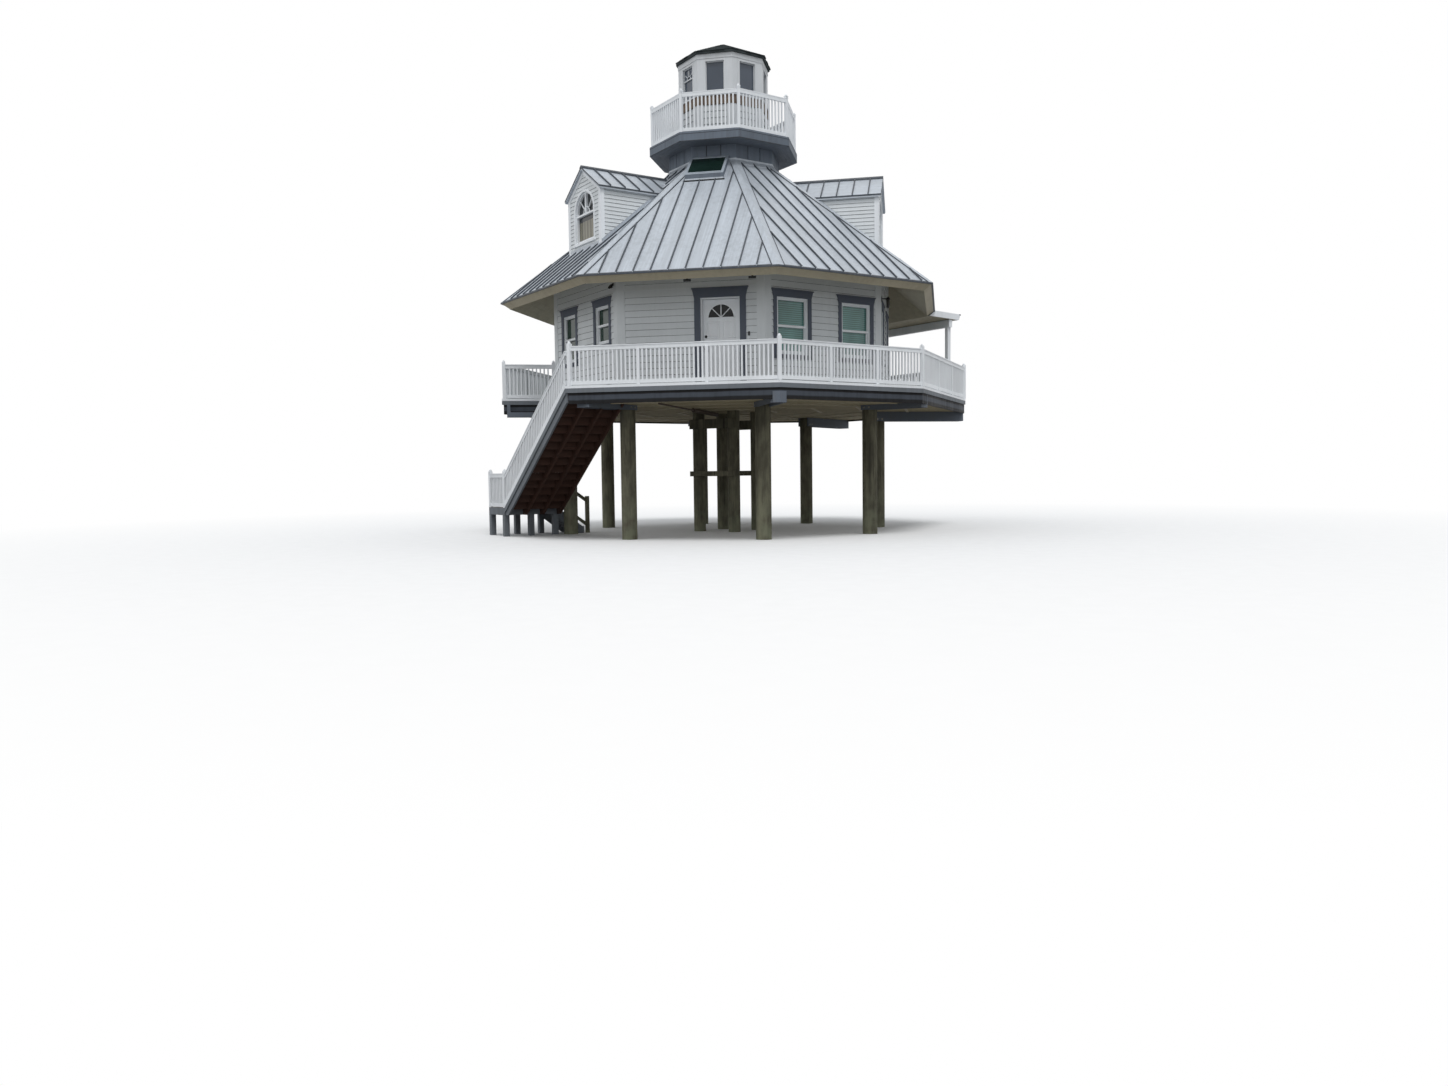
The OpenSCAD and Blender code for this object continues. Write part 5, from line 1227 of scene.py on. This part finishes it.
    def flashing(self, shape, k):
        foot, inside, outside = roof_top(DORMER_A), DORMER_HALF - DORMER_BOARD, DORMER_HALF + 0.022
        shape.blocks(k, DORMER_A, DORMER_A + 0.026, DORMER_X - inside, DORMER_X + inside, foot - 0.02, foot + 0.052)
        shape.blocks(k, DORMER_A + 0.004, DORMER_A + 0.120, DORMER_X - outside, DORMER_X + outside,
                     -0.002, 0.008, roof_top)
        inner = roof_reach(DORMER_EAVE_Z)
        x = [DORMER_X + hand * (DORMER_HALF + 0.024) for hand in (-1, 1)]
        up_roof(shape, [(k, DORMER_A, inner, v, v) for v in x], [-0.006, 0.006, 0.006, -0.006],
                [-0.002, -0.002, 0.075, 0.075])


def cap_top(a):
    """Height of the lantern's roof at a from the axis."""
    return CAP_Z + (CAP_A - a) * CAP_RISE


class HOUSE_OT_lantern(bpy.types.Operator):
    """Dresses the lantern: boards and trim round its walls, shingles on its cap and boards round its neck. A
    shingle is a wedge on the cap's slope, and its ends turn in with the hips."""
    bl_idname = "house.lantern"
    bl_label = "Lantern"

    def execute(self, context):
        self.siding()
        self.trim()
        self.shingles()
        self.neck()
        return {"FINISHED"}

    def siding(self):
        shape, joints = Shape(31), Shape(37)
        reach, foot = half_side(LANTERN_A) - 0.150, WALK_TOP + 0.001
        for k in range(SIDES):
            lap_boards(shape, joints, lambda x, out, z, k=k: place(k, LANTERN_A + out, x, z),
                       lambda z1, z2: [(-reach, -reach, reach, reach)], foot, BAND_FOOT,
                       WALK_TOP + 0.06, sizes().lantern_course, [], WALL_LAP)
        # Two dark strips on the walk's fascia, under its top board and along its foot: painted shade
        for z in (WALK_TOP - 0.054, WALK_Z + 0.009):
            joints.band(range(SIDES), section(WALK_A, WALK_A + 0.0155, z - 0.007, z + 0.007))
        shape.finish("lantern_siding", "lantern_paint", "siding")
        joints.finish("lantern_shadow_lines", "lap_shadow_paint", "siding")

    def trim(self):
        shape, sides, foot = Shape(32), list(range(SIDES)), WALK_TOP + 0.001
        corner_wraps(shape, LANTERN_A, 0.150, 0.020, foot, BAND_FOOT)
        corner_wraps(shape, LANTERN_A, 0.155, 0.018, LANTERN_SILL, LANTERN_TOP)
        k, lap, head = np.repeat(sides, 2), 0.004, LANTERN_HEAD + 0.055
        x1 = np.tile([-LANTERN_WIN - 0.065, LANTERN_WIN - lap], SIDES)
        shape.posts(k, LANTERN_A, LANTERN_A + 0.024, x1, x1 + 0.069, LANTERN_SILL + 0.025, head)
        shape.blocks(sides, LANTERN_A, LANTERN_A + 0.0235, lap - LANTERN_WIN, LANTERN_WIN - lap,
                     LANTERN_HEAD - lap, head)
        near, far = LANTERN_A - 0.040, LANTERN_A - 0.012
        x1 = np.tile([-LANTERN_WIN, LANTERN_WIN - 0.022], SIDES)
        shape.posts(k, near, far, x1, x1 + 0.022, LANTERN_SILL, LANTERN_HEAD)
        for z in (LANTERN_SILL, LANTERN_HEAD - 0.026):
            shape.blocks(sides, near, far, -LANTERN_WIN, LANTERN_WIN, z, z + 0.026)
        for z1, z2, t in ((LANTERN_SILL - 0.006, LANTERN_SILL + 0.028, 0.052),
                          (LANTERN_TOP - 0.125, LANTERN_TOP - 0.001, 0.030), (foot, WALK_TOP + 0.060, 0.026)):
            shape.band(sides, section(LANTERN_A, LANTERN_A + t, z1, z2))
        bar = WALK_TOP + 1.710
        shape.blocks(7, near, far, -LANTERN_WIN, LANTERN_WIN, bar - 0.028, bar)

        def put(x, out, z):
            return place(7, LANTERN_A + out, x, z)

        arch_band(shape, put, 0.078, 0.094, bar, bar, -0.038, -0.016)
        spokes(shape, put, bar, 0.088, 0.235, [40, 90, 140], 0.016, -0.038, -0.016)
        shape.finish("lantern_trim", "lantern_coat", "white_paint")

    def shingles(self):
        shape, step, rows = Shape(33), sizes().shingle_course, []
        for k in range(SIDES):
            for i in range(int(CAP_A / step) + 1):
                low, high = CAP_A - i * step + 0.018, max(0.028, CAP_A - (i + 1) * step)
                if low < 0.05:
                    continue
                reach = half_side(low)
                count = max(1, round(2 * reach / SHINGLE_W))
                edges = np.linspace(-reach, reach, count + 1)
                edges[1:-1] += shape.random.uniform(-0.03, 0.03, count - 1)
                drop = shape.random.uniform(-0.016, 0.014 if i else 0.030, count)
                rows += [(k, low + drop[j], high, edges[j], edges[j + 1] - 0.003) for j in range(count)]
        k, low, high, x1, x2 = np.array(rows).T[:, :, None]
        a = np.where([True, True, False, False], low, high)
        lift = np.array([0.001, 0.015, 0.004, 0.001])
        limit = half_side(a)
        rings = [place(k, a, np.clip(x, -limit, limit), cap_top(a) + lift) for x in (x1, x2)]
        shape.loft(np.stack(rings, axis=1))
        shape.finish("cap_shingles", "shingle", "slate_paint")

    def neck(self):
        boards, flashing, soffit, count = Shape(34), Shape(35), Shape(36), 3
        foot, head, top = roof_top(NECK_A), WALK_Z - 0.001, roof_top(NECK_A + 0.120)
        width = 2 * half_side(NECK_A) / count
        x1 = -half_side(NECK_A) + width * np.tile(np.arange(count), SIDES)
        boards.posts(np.repeat(np.arange(SIDES), count), NECK_A, NECK_A + 0.018, x1 + 0.010, x1 + width - 0.010,
                     foot - 0.03, head)
        corner_wraps(boards, NECK_A, 0.060, 0.024, foot - 0.03, head)
        for z1, z2 in ((WALK_TOP - 0.048, WALK_TOP - 0.002), (WALK_Z + 0.001, WALK_TOP - 0.060)):
            boards.band(range(SIDES), section(WALK_A, WALK_A + 0.014, z1, z2))
        boards.finish("neck_boards", "walk_paint", "slate_paint")
        flashing.band(range(SIDES), [
            (NECK_A, foot - 0.02), (NECK_A + 0.120, top + 0.001), (NECK_A + 0.120, top + 0.016),
            (NECK_A + 0.034, foot + 0.030), (NECK_A + 0.026, foot + 0.075), (NECK_A, foot + 0.075)])
        flashing.finish("neck_flashing", "roof_metal", "metal_roof")
        for i in range(4):
            a1 = NECK_A + 0.030 + 0.115 * i
            soffit.band(range(SIDES), section(a1, a1 + 0.108, WALK_Z - 0.010, WALK_Z - 0.0005))
        soffit.finish("walk_soffit", "beam_paint", "slate_paint")


class HOUSE_OT_skylight(bpy.types.Operator):
    """Lays the light frame on the skylight's curb and the flashing round its foot."""
    bl_idname = "house.skylight"
    bl_label = "Skylight"

    def execute(self, context):
        rim, foot, shade_strip = Shape(41), Shape(42), Shape(43)
        x1, x2 = SKY_X - SKY_HALF, SKY_X + SKY_HALF
        low, high, w, lip, apron = SKY_H - 0.001, SKY_H + 0.016, 0.062, 0.004, 0.060
        for a in (SKY_IN - lip, SKY_OUT - w):
            rim.blocks(0, a, a + w + lip, x1 - lip, x2 + lip, low, high, roof_top)
        for x in (x1 - lip, x2 - w):
            rim.blocks(0, SKY_IN + w, SKY_OUT - w, x, x + w + lip, low, high, roof_top)
        rim.finish("skylight_rim", "rim_metal", "grey_paint")
        foot.blocks(0, SKY_OUT, SKY_OUT + 0.110, x1 - apron, x2 + apron, -0.002, 0.012, roof_top)
        foot.blocks(0, SKY_OUT, SKY_OUT + 0.012, x1, x2, -0.002, 0.060, roof_top)
        for x in (x1 - apron, x2):
            foot.blocks(0, SKY_IN, SKY_OUT, x, x + apron, -0.002, 0.012, roof_top)
        foot.finish("skylight_flashing", "roof_metal", "metal_roof")
        # A near black strip just below the curb: painted shade under the skylight
        shade_strip.blocks(0, SKY_OUT + 0.011, SKY_OUT + 0.050, x1 - 0.040, x2 + 0.040, 0.010, 0.030, roof_top)
        shade_strip.finish("skylight_shadow_strip", "shadow_strip_paint", "metal_roof")
        return {"FINISHED"}


class HOUSE_OT_eaves(bpy.types.Operator):
    """Boards the sloping soffits, trims the porch roof's edge and hangs the lamps under the eaves."""
    bl_idname = "house.eaves"
    bl_label = "Eaves and porch roof"

    def execute(self, context):
        soffit, near, half = Shape(51), EAVE_A - FASCIA_IN, half_side(EAVE_A)
        for a in np.arange(WALL_A + 0.030, near - 0.05, SOFFIT_STEP):
            a2 = min(a + SOFFIT_BOARD, near)
            z, z2 = roof_under(a), roof_under(a2)
            soffit.band(range(SIDES), [(a, z - 0.005), (a2, z2 - 0.005), (a2, z2 + 0.001), (a, z + 0.001)])
        starts = np.arange(near + 0.02, PORCH_A - PORCH_LEAN - 0.10, SOFFIT_STEP)
        soffit.blocks(3, starts, starts + SOFFIT_BOARD, 0.004 - half, half - 0.004, -0.005, 0.001, porch_under)
        soffit.finish("soffit_boards", "soffit_paint", "cream_paint")
        self.porch_edge(half, near)
        self.lamps()
        return {"FINISHED"}

    def porch_edge(self, half, near):
        edge, drip, t = Shape(52), Shape(53), 0.014
        low, foot = PORCH_A - PORCH_LEAN, PORCH_Z - PORCH_EDGE - 0.004
        edge.along(3, np.array([PORCH_A, PORCH_A + t, low + t, low]), np.array([PORCH_Z, PORCH_Z, foot, foot]),
                   -half - t, half + t)
        a = np.array([EAVE_A + 0.010, PORCH_A - 0.001, low - 0.001, near + 0.010])
        z = np.array([EAVE_Z - 0.001, PORCH_Z - 0.001, foot, EAVE_Z - FASCIA_DROP - 0.003])
        for x in (-half - t, half):
            edge.along(3, a, z, x, x + t)
        edge.finish("porch_fascia", "white_coat", "white_paint")
        # Dark metal here too: painted shade under the porch roof's edge
        drip.along(3, PORCH_A + np.array([-0.030, 0.020, 0.020, 0.012, -0.030]),
                   PORCH_Z + np.array([0.004, 0.003, -0.034, -0.034, -0.010]), -half - 0.020, half + 0.020)
        drip.finish("porch_drip", "seam_metal_painted_shade", "metal_roof")

    def lamps(self):
        """Two tube lamps under the front eave, and a pair of flood lamps on side 7's wall."""
        shape = Shape(54)
        for x in (0.185, 1.700):
            shape.bars(disc(0.030), place(0, 5.395, x - 0.085, 6.020), place(0, 5.395, x + 0.085, 6.020))
            shape.blocks(0, 5.380, 5.410, x - 0.020, x + 0.020, 6.030, 6.085)
        for x in (1.585, 1.665):
            shape.turned(place(7, 4.420, x, 6.205), [(0.010, -0.008), (0.020, 0.0), (0.030, 0.050), (0.033, 0.085),
                                                     (0.028, 0.085), (0.020, 0.055)], 16, (*outward(7)[:2], -2.0))
        shape.blocks(7, WALL_A + 0.004, 4.385, 1.595, 1.655, 6.185, 6.245)
        shape.blocks(7, 4.385, 4.425, 1.575, 1.675, 6.205, 6.220)
        shape.finish("eave_lamps", "dark_iron", "dark_grey_paint", round_below=40)


class HOUSE_OT_windows(bpy.types.Operator):
    """Fits the sashes' inner bars, the sills and the crowns of the house windows."""
    bl_idname = "house.windows"
    bl_label = "House windows"

    def execute(self, context):
        sash, slate = Shape(61), Shape(62)
        k, x, half, sill = np.array([(k, x, w / 2, z) for k in range(SIDES) for x, w, z in windows(k)]).T
        mid, inside, foot, head = (sill + HEAD_Z) / 2, half - SASH_W, sill + SASH_W, HEAD_Z - SASH_W
        for hand in (-1, 1):
            for bar, z1, z2, near, far in ((0.030, foot, mid, -0.086, -0.052), (0.018, mid, head, -0.070, -0.036)):
                inner, outer = x + hand * (half - SASH_W - bar), x + hand * inside
                sash.posts(k, WALL_A + near, WALL_A + far, np.minimum(inner, outer), np.maximum(inner, outer), z1, z2)
        sash.blocks(k, WALL_A - 0.086, WALL_A - 0.051, x - inside, x + inside, foot, foot + 0.050)
        sash.blocks(k, WALL_A - 0.070, WALL_A - 0.035, x - inside, x + inside, head - 0.018, head)
        sash.finish("window_sashes", "white_coat", "white_paint")
        out, crown = half + CASING_W + 0.018, half + CASING_W + HEAD_FLARE + 0.012
        slate.blocks(k, WALL_A, WALL_A + 0.058, x - out, x + out, sill - 0.034, sill + 0.003)
        top = HEAD_Z + HEAD_CASING
        slate.blocks(k, WALL_A, WALL_A + 0.048, x - crown, x + crown, top - 0.004, top + 0.022)
        out, top = DOOR_CASING_HALF + HEAD_FLARE + 0.012, HEAD_Z + DOOR_HEAD_CASING
        slate.blocks(0, WALL_A, WALL_A + 0.050, DOOR_X - out, DOOR_X + out, top - 0.004, top + 0.024)
        slate.finish("casing_crowns_and_sills", "slate_coat", "dark_grey_paint")
        return {"FINISHED"}


def raised_panel(shape, put, x1, x2, z1, z2):
    """Moulded panel: rectangles set further in by each step, at each step's own height from the face."""
    steps = np.array([(0.0, -0.001), (0.004, 0.009), (0.016, 0.009), (0.024, 0.001), (0.042, 0.001), (0.060, 0.008)])
    inset_by, out = steps.T[:, :, None]
    x = np.array([x1, x2, x2, x1]) + np.array([1, -1, -1, 1]) * inset_by
    z = np.array([z1, z1, z2, z2]) + np.array([1, 1, -1, -1]) * inset_by
    shape.loft(put(x, out + 0 * x, z))


class HOUSE_OT_door(bpy.types.Operator):
    """Dresses both faces of the entrance door: raised panels, the fan of its light, knobs and bolt."""
    bl_idname = "house.door"
    bl_label = "Entrance door"

    def execute(self, context):
        panels, iron, bell = Shape(71), Shape(72), Shape(73)
        t = np.linspace(0.02, math.pi - 0.02, 9)
        ball = np.stack([KNOB_R * np.sin(t), KNOB_OUT - KNOB_R * np.cos(t)], -1)
        for face, way in ((LEAF_OUT_A, 1), (LEAF_IN_A, -1)):
            def put(x, out, z, face=face, way=way):
                return place(0, face + way * out, DOOR_X + x, z)

            for hand in (-1, 1):
                x1, x2 = sorted([hand * 0.035, hand * 0.355])
                raised_panel(panels, put, x1, x2, 3.900, 4.750)
                raised_panel(panels, put, x1, x2, 4.830, 5.230)
            rim = FAN_R + 0.022
            arch_band(panels, put, FAN_R - 0.012, rim, FAN_Z, FAN_Z, -0.017, 0.010)
            spokes(panels, put, FAN_Z, 0.0, FAN_R - 0.004, [45, 90, 135], 0.020, -0.017, 0.004)
            panels.blocks(0, *sorted([face, face + way * 0.010]), DOOR_X - rim, DOOR_X + rim,
                          FAN_Z - 0.026, FAN_Z + 0.006)
            axis, knob = way * outward(0), place(0, face, KNOB_X, KNOB_Z)
            iron.turned(knob, [(0.013, 0.0), (0.013, 0.030)], 16, axis)
            iron.turned(knob, ball, 20, axis)
            for z in (KNOB_Z, KNOB_Z + 0.296):
                iron.turned(place(0, face, KNOB_X, z), [(0.036, -0.001), (0.036, 0.006), (0.028, 0.011)], 20, axis)
        panels.finish("door_panels", "white_coat", "white_paint", "entrance_door")
        iron.finish("door_furniture", "dark_iron", "dark_grey_paint", "entrance_door", 40)
        bell.blocks(0, WALL_A + 0.004, WALL_A + 0.030, 1.406, 1.446, 4.850, 4.946)
        bell.turned(place(0, WALL_A + 0.030, 1.426, 4.905), [(0.010, 0.0), (0.010, 0.004)], 12, outward(0))
        bell.finish("door_bell", "dark_iron", "dark_grey_paint")
        return {"FINISHED"}


class HOUSE_OT_deck(bpy.types.Operator):
    """Lays the deck: each bay's planks are strips along its side, cut to the bay's own outline."""
    bl_idname = "house.deck"
    bl_label = "Deck planks"

    def execute(self, context):
        shape, step, wall = Shape(81), sizes().plank, WALL_A + CORNER_T + 0.002
        rim = inset(deck_outline(), CURB_W + 0.003)
        for k in range(SIDES - 1):
            bay = inset(np.array([corner(wall, k), rim[k], rim[k + 1], corner(wall, k + 1)]), 0.003)
            for a in np.arange(wall, PORCH_DECK_A, step):
                strip = place(k, [a, a + step - 0.006, a + step - 0.006, a], [-9.0, -9.0, 9.0, 9.0], 0.0)[:, :2]
                piece = clipped(strip - [AXIS_X, AXIS_Y], bay)
                if piece is not None:
                    shape.slabs(at_axis(piece, DECK_Z - 0.002), (0.0, 0.0, 0.007))
        shape.finish("deck_planks", "plank_timber", "deck_plank")
        return {"FINISHED"}


class HOUSE_OT_rail_caps(bpy.types.Operator):
    """Lays a cap on every top rail and every post."""
    bl_idname = "house.rail_caps"
    bl_label = "Rail caps and post caps"

    def execute(self, context):
        shape, half = Shape(91), POST_W / 2
        line = inset(deck_outline(), CURB_W / 2)
        ray = corner(1, 7) / np.linalg.norm(corner(1, 7))
        wall_post = (((WALL_A + CORNER_T) / math.cos(HALF) + half + 0.0003) * ray
                     - CURB_W / 2 * np.array([-ray[1], ray[0]]))
        ends = np.concatenate([line[:8], [wall_post]])
        self.caps(shape, at_axis(ends[:-1], CURB_Z + RAIL_H), at_axis(ends[1:], CURB_Z + RAIL_H))
        corners = 45.0 * np.arange(8) - 22.5
        steps = ((POST_W - 0.002, -0.001, 0.010), (POST_W - 0.034, 0.009, 0.024))
        self.post_caps(shape, at_axis(ends, CURB_Z + RAIL_H + POST_UP),
                       np.append(corners, math.degrees(math.atan2(ray[1], ray[0]))), steps)

        a, end = STAIR_A - half, STAIR_FOOT - LANDING_L + half
        posts = place(7, [a, a, STAIR_A - STAIR_W + half], [STAIR_FOOT - half, end, end], LANDING_Z)
        self.caps(shape, posts[:2] + [0, 0, RAIL_H], posts[1:] + [0, 0, RAIL_H])
        self.post_caps(shape, posts + [0, 0, RAIL_H + POST_UP], -45.0 * np.ones(3), steps)
        foot, top = STAIR_FOOT + 0.002, STAIR_T - 0.016
        shape.bars(rectangle(*RAIL_CAP), place(7, a, foot, nose_z(STAIR_FOOT) + 0.870),
                   place(7, a, top, nose_z(top) + 0.870))

        ring = np.array([corner(WALK_RAIL_A, k) for k in range(SIDES)])
        low = WALK_TOP + WALK_RAIL_H
        self.caps(shape, at_axis(ring, low), at_axis(np.roll(ring, -1, axis=0), low), 0.060, 0.042)
        self.post_caps(shape, at_axis(ring, low + POST_UP), corners,
                       ((0.089, -0.052, -0.034), (0.093, -0.010, 0.010)))
        shape.finish("rail_caps", "white_coat", "white_paint")
        return {"FINISHED"}

    def caps(self, shape, starts, ends, width=RAIL_CAP[0], clear=0.050):
        """Bars on the rails from each start to each end, clear of the posts at both."""
        run = ends - starts
        run = run / np.linalg.norm(run, axis=1, keepdims=True)
        shape.bars(rectangle(width, *RAIL_CAP[1:]), starts + clear * run, ends - clear * run)

    def post_caps(self, shape, tops, turns, steps):
        """Squares about each post's top: each step is a side, and a foot and a head from that top."""
        t = np.radians(np.asarray(turns)[:, None] + [45.0, 135.0, 225.0, 315.0])
        spin = np.stack([np.cos(t), np.sin(t), 0 * t], -1) * math.sqrt(0.5)
        for side, low, high in steps:
            shape.slabs(tops[:, None, :] + side * spin + [0, 0, low], (0.0, 0.0, high - low))


class HOUSE_OT_underside(bpy.types.Operator):
    """Dresses the underside: battens round the ceiling, the beams' end blocks and bolts, and one drain pipe."""
    bl_idname = "house.underside"
    bl_label = "Underside"

    def execute(self, context):
        battens, bolts, pipe, blocks = [Shape(seed) for seed in range(101, 105)]
        # The outermost stops at the stair's notch, which takes up side 7
        for a, trim, sides in ((1.3, 0.0, 8), (2.5, 0.0, 8), (3.7, 0.0, 8), (4.9, 0.2, 7)):
            battens.band(range(sides), section(a - 0.035, a + 0.035, CEILING_Z - 0.018, CEILING_Z - 0.0003), trim)
        battens.finish("ceiling_battens", "soffit_paint", "cream_paint")
        # The two ends that stand out past the rim
        corner_wraps(blocks, DECK_A - 0.060, 0.150, 0.057, BEAM_FOOT_Z - 0.002, BEAM_FOOT_Z + 0.253, (1, 6))
        blocks.finish("beam_ends", "beam_paint", "dark_grey_paint")
        for k in range(SIDES):
            ray = corner(1, k) / np.linalg.norm(corner(1, k))
            side = np.array([-ray[1], ray[0]])
            z = BEAM_FOOT.get(k, BEAM_FOOT_Z) + 0.065
            for hand in (-1, 1):
                for r in (PILE_R - 0.070, PILE_R + 0.070):
                    at = at_axis(r * ray + hand * BEAM_HALF_W * side, z)
                    bolts.turned(at, [(0.026, -0.001), (0.026, 0.004), (0.014, 0.005), (0.014, 0.016)], 8,
                                 (*(hand * side), 0.0))
        bolts.finish("beam_bolts", "steel", "dark_grey_paint")
        start, mid, end = [at_axis(p, CEILING_Z - 0.075) for p in ((-0.50, -5.50), (-0.37, -2.60), (-0.25, -0.20))]
        pipe.bars(disc(0.022), start, mid)
        pipe.bars(disc(0.055, 16), mid, end)
        pipe.finish("ceiling_pipe", "pipe_brown", "weathered_pile", round_below=50)
        return {"FINISHED"}


class HOUSE_OT_stair(bpy.types.Operator):
    """Boards the stair: two planks on each tread, and planks across the landing."""
    bl_idname = "house.stair"
    bl_label = "Stair"

    def execute(self, context):
        treads, landing, inner = Shape(111), Shape(112), STAIR_A - STAIR_W + 0.001
        i = np.arange(1, RISERS + 1)
        back = STAIR_T - (i - 1) * GOING - 0.0205
        nose = np.maximum(back - GOING - 0.0285, STAIR_FOOT + 0.001)
        middle = (back + nose) / 2
        top = DECK_Z - i * STEP_RISE
        for x1, x2 in ((nose, middle - 0.003), (middle + 0.003, back)):
            self.across(treads, x1, x2, top - 0.001, top + 0.004, STAIR_A - 0.0805, inner)
        treads.finish("tread_boards", "stair_board", "redwood")
        x1 = STAIR_FOOT - LANDING_L + 0.1375 * np.arange(8)
        self.across(landing, x1 + 0.001, x1 + 0.1315, 0 * x1 + LANDING_Z - 0.002, 0 * x1 + LANDING_Z + 0.004,
                    STAIR_A - 0.001, inner)
        landing.finish("landing_planks", "plank_timber", "deck_plank")
        return {"FINISHED"}

    def across(self, shape, x1, x2, z1, z2, a1, a2):
        """Boards across the flight: rectangles in x and z carried from a1 in to a2."""
        x, z = np.stack([x1, x2, x2, x1], -1), np.stack([z1, z1, z2, z2], -1)
        shape.slabs(place(7, a1, x, z), (a2 - a1) * outward(7))


class HOUSE_OT_wall_lantern(bpy.types.Operator):
    """Turns the lamp on the wall: each part is a profile spun about the lamp's middle line."""
    bl_idname = "house.wall_lantern"
    bl_label = "Wall lantern"

    def execute(self, context):
        low, high = [np.array(v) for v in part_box("wall_light")]
        middle, tall = (low + high) / 2, high[2] - low[2]
        r = min(high[0] - low[0], high[1] - low[1]) / 2
        foot = np.array([high[0] - r, middle[1], low[2]])
        size = np.array([r, tall])
        iron, glass = Shape(121), Shape(122)
        iron.turned(foot, [(0.15, 0.0), (0.60, 0.06), (0.72, 0.12), (0.72, 0.16)] * size)
        iron.turned(foot, [(0.98, 0.70), (0.98, 0.74), (0.45, 0.90), (0.12, 0.94), (0.12, 1.0)] * size)
        t = math.pi / 4 + math.pi / 2 * np.arange(4)
        ends = foot + 0.74 * r * np.stack([np.cos(t), np.sin(t), 0 * t], -1)
        iron.bars(rectangle(0.010, 0.010, -0.005), ends + [0, 0, 0.14 * tall], ends + [0, 0, 0.72 * tall], outward(1))
        iron.bars(rectangle(0.030, 0.024, -0.012), foot + [-0.4 * r, 0, 0.80 * tall],
                  [low[0], foot[1], foot[2] + 0.80 * tall])
        iron.slabs([[low[0], foot[1] + y, foot[2] + z * tall] for y, z in
                    ((-0.055, 0.55), (0.055, 0.55), (0.055, 0.98), (-0.055, 0.98))], (0.012, 0.0, 0.0))
        piece = iron.finish("wall_lantern", "dark_iron", "dark_grey_paint", round_below=40)
        glass.turned(foot, [(0.62, 0.15), (0.66, 0.71)] * size)
        glass.finish("wall_lantern_glass", "lamp_glass", "window_glass", round_below=40)
        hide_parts("wall_light")
        return {"FINISHED"}


class HOUSE_PT_panel(bpy.types.Panel):
    """Lists the steps that dress the house."""
    bl_idname = "HOUSE_PT_panel"
    bl_label = "Beach House"
    bl_space_type = "VIEW_3D"
    bl_region_type = "UI"
    bl_category = "Beach House"

    def draw(self, context):
        for step in STEPS:
            self.layout.operator(step.bl_idname)
        for group in (context.scene.beach_house_colours, context.scene.beach_house_sizes):
            for key in group.bl_rna.properties.keys():
                if key not in ("rna_type", "name"):
                    self.layout.prop(group, key)


STEPS = [HOUSE_OT_stage, HOUSE_OT_frame_finishes, HOUSE_OT_siding, HOUSE_OT_roof_seams, HOUSE_OT_dormers,
         HOUSE_OT_lantern, HOUSE_OT_skylight, HOUSE_OT_eaves, HOUSE_OT_windows, HOUSE_OT_door, HOUSE_OT_deck,
         HOUSE_OT_rail_caps, HOUSE_OT_underside, HOUSE_OT_stair, HOUSE_OT_wall_lantern]
CLASSES = [HouseColours, HouseSizes] + STEPS + [HOUSE_PT_panel]


def register():
    for one in CLASSES:
        bpy.utils.register_class(one)
    bpy.types.Scene.beach_house_colours = PointerProperty(type=HouseColours)
    bpy.types.Scene.beach_house_sizes = PointerProperty(type=HouseSizes)


def unregister():
    del bpy.types.Scene.beach_house_sizes
    del bpy.types.Scene.beach_house_colours
    for one in reversed(CLASSES):
        bpy.utils.unregister_class(one)


def main():
    register()
    for step in STEPS:
        family, name = step.bl_idname.split(".")
        getattr(getattr(bpy.ops, family), name)()


if __name__ == "__main__":
    main()
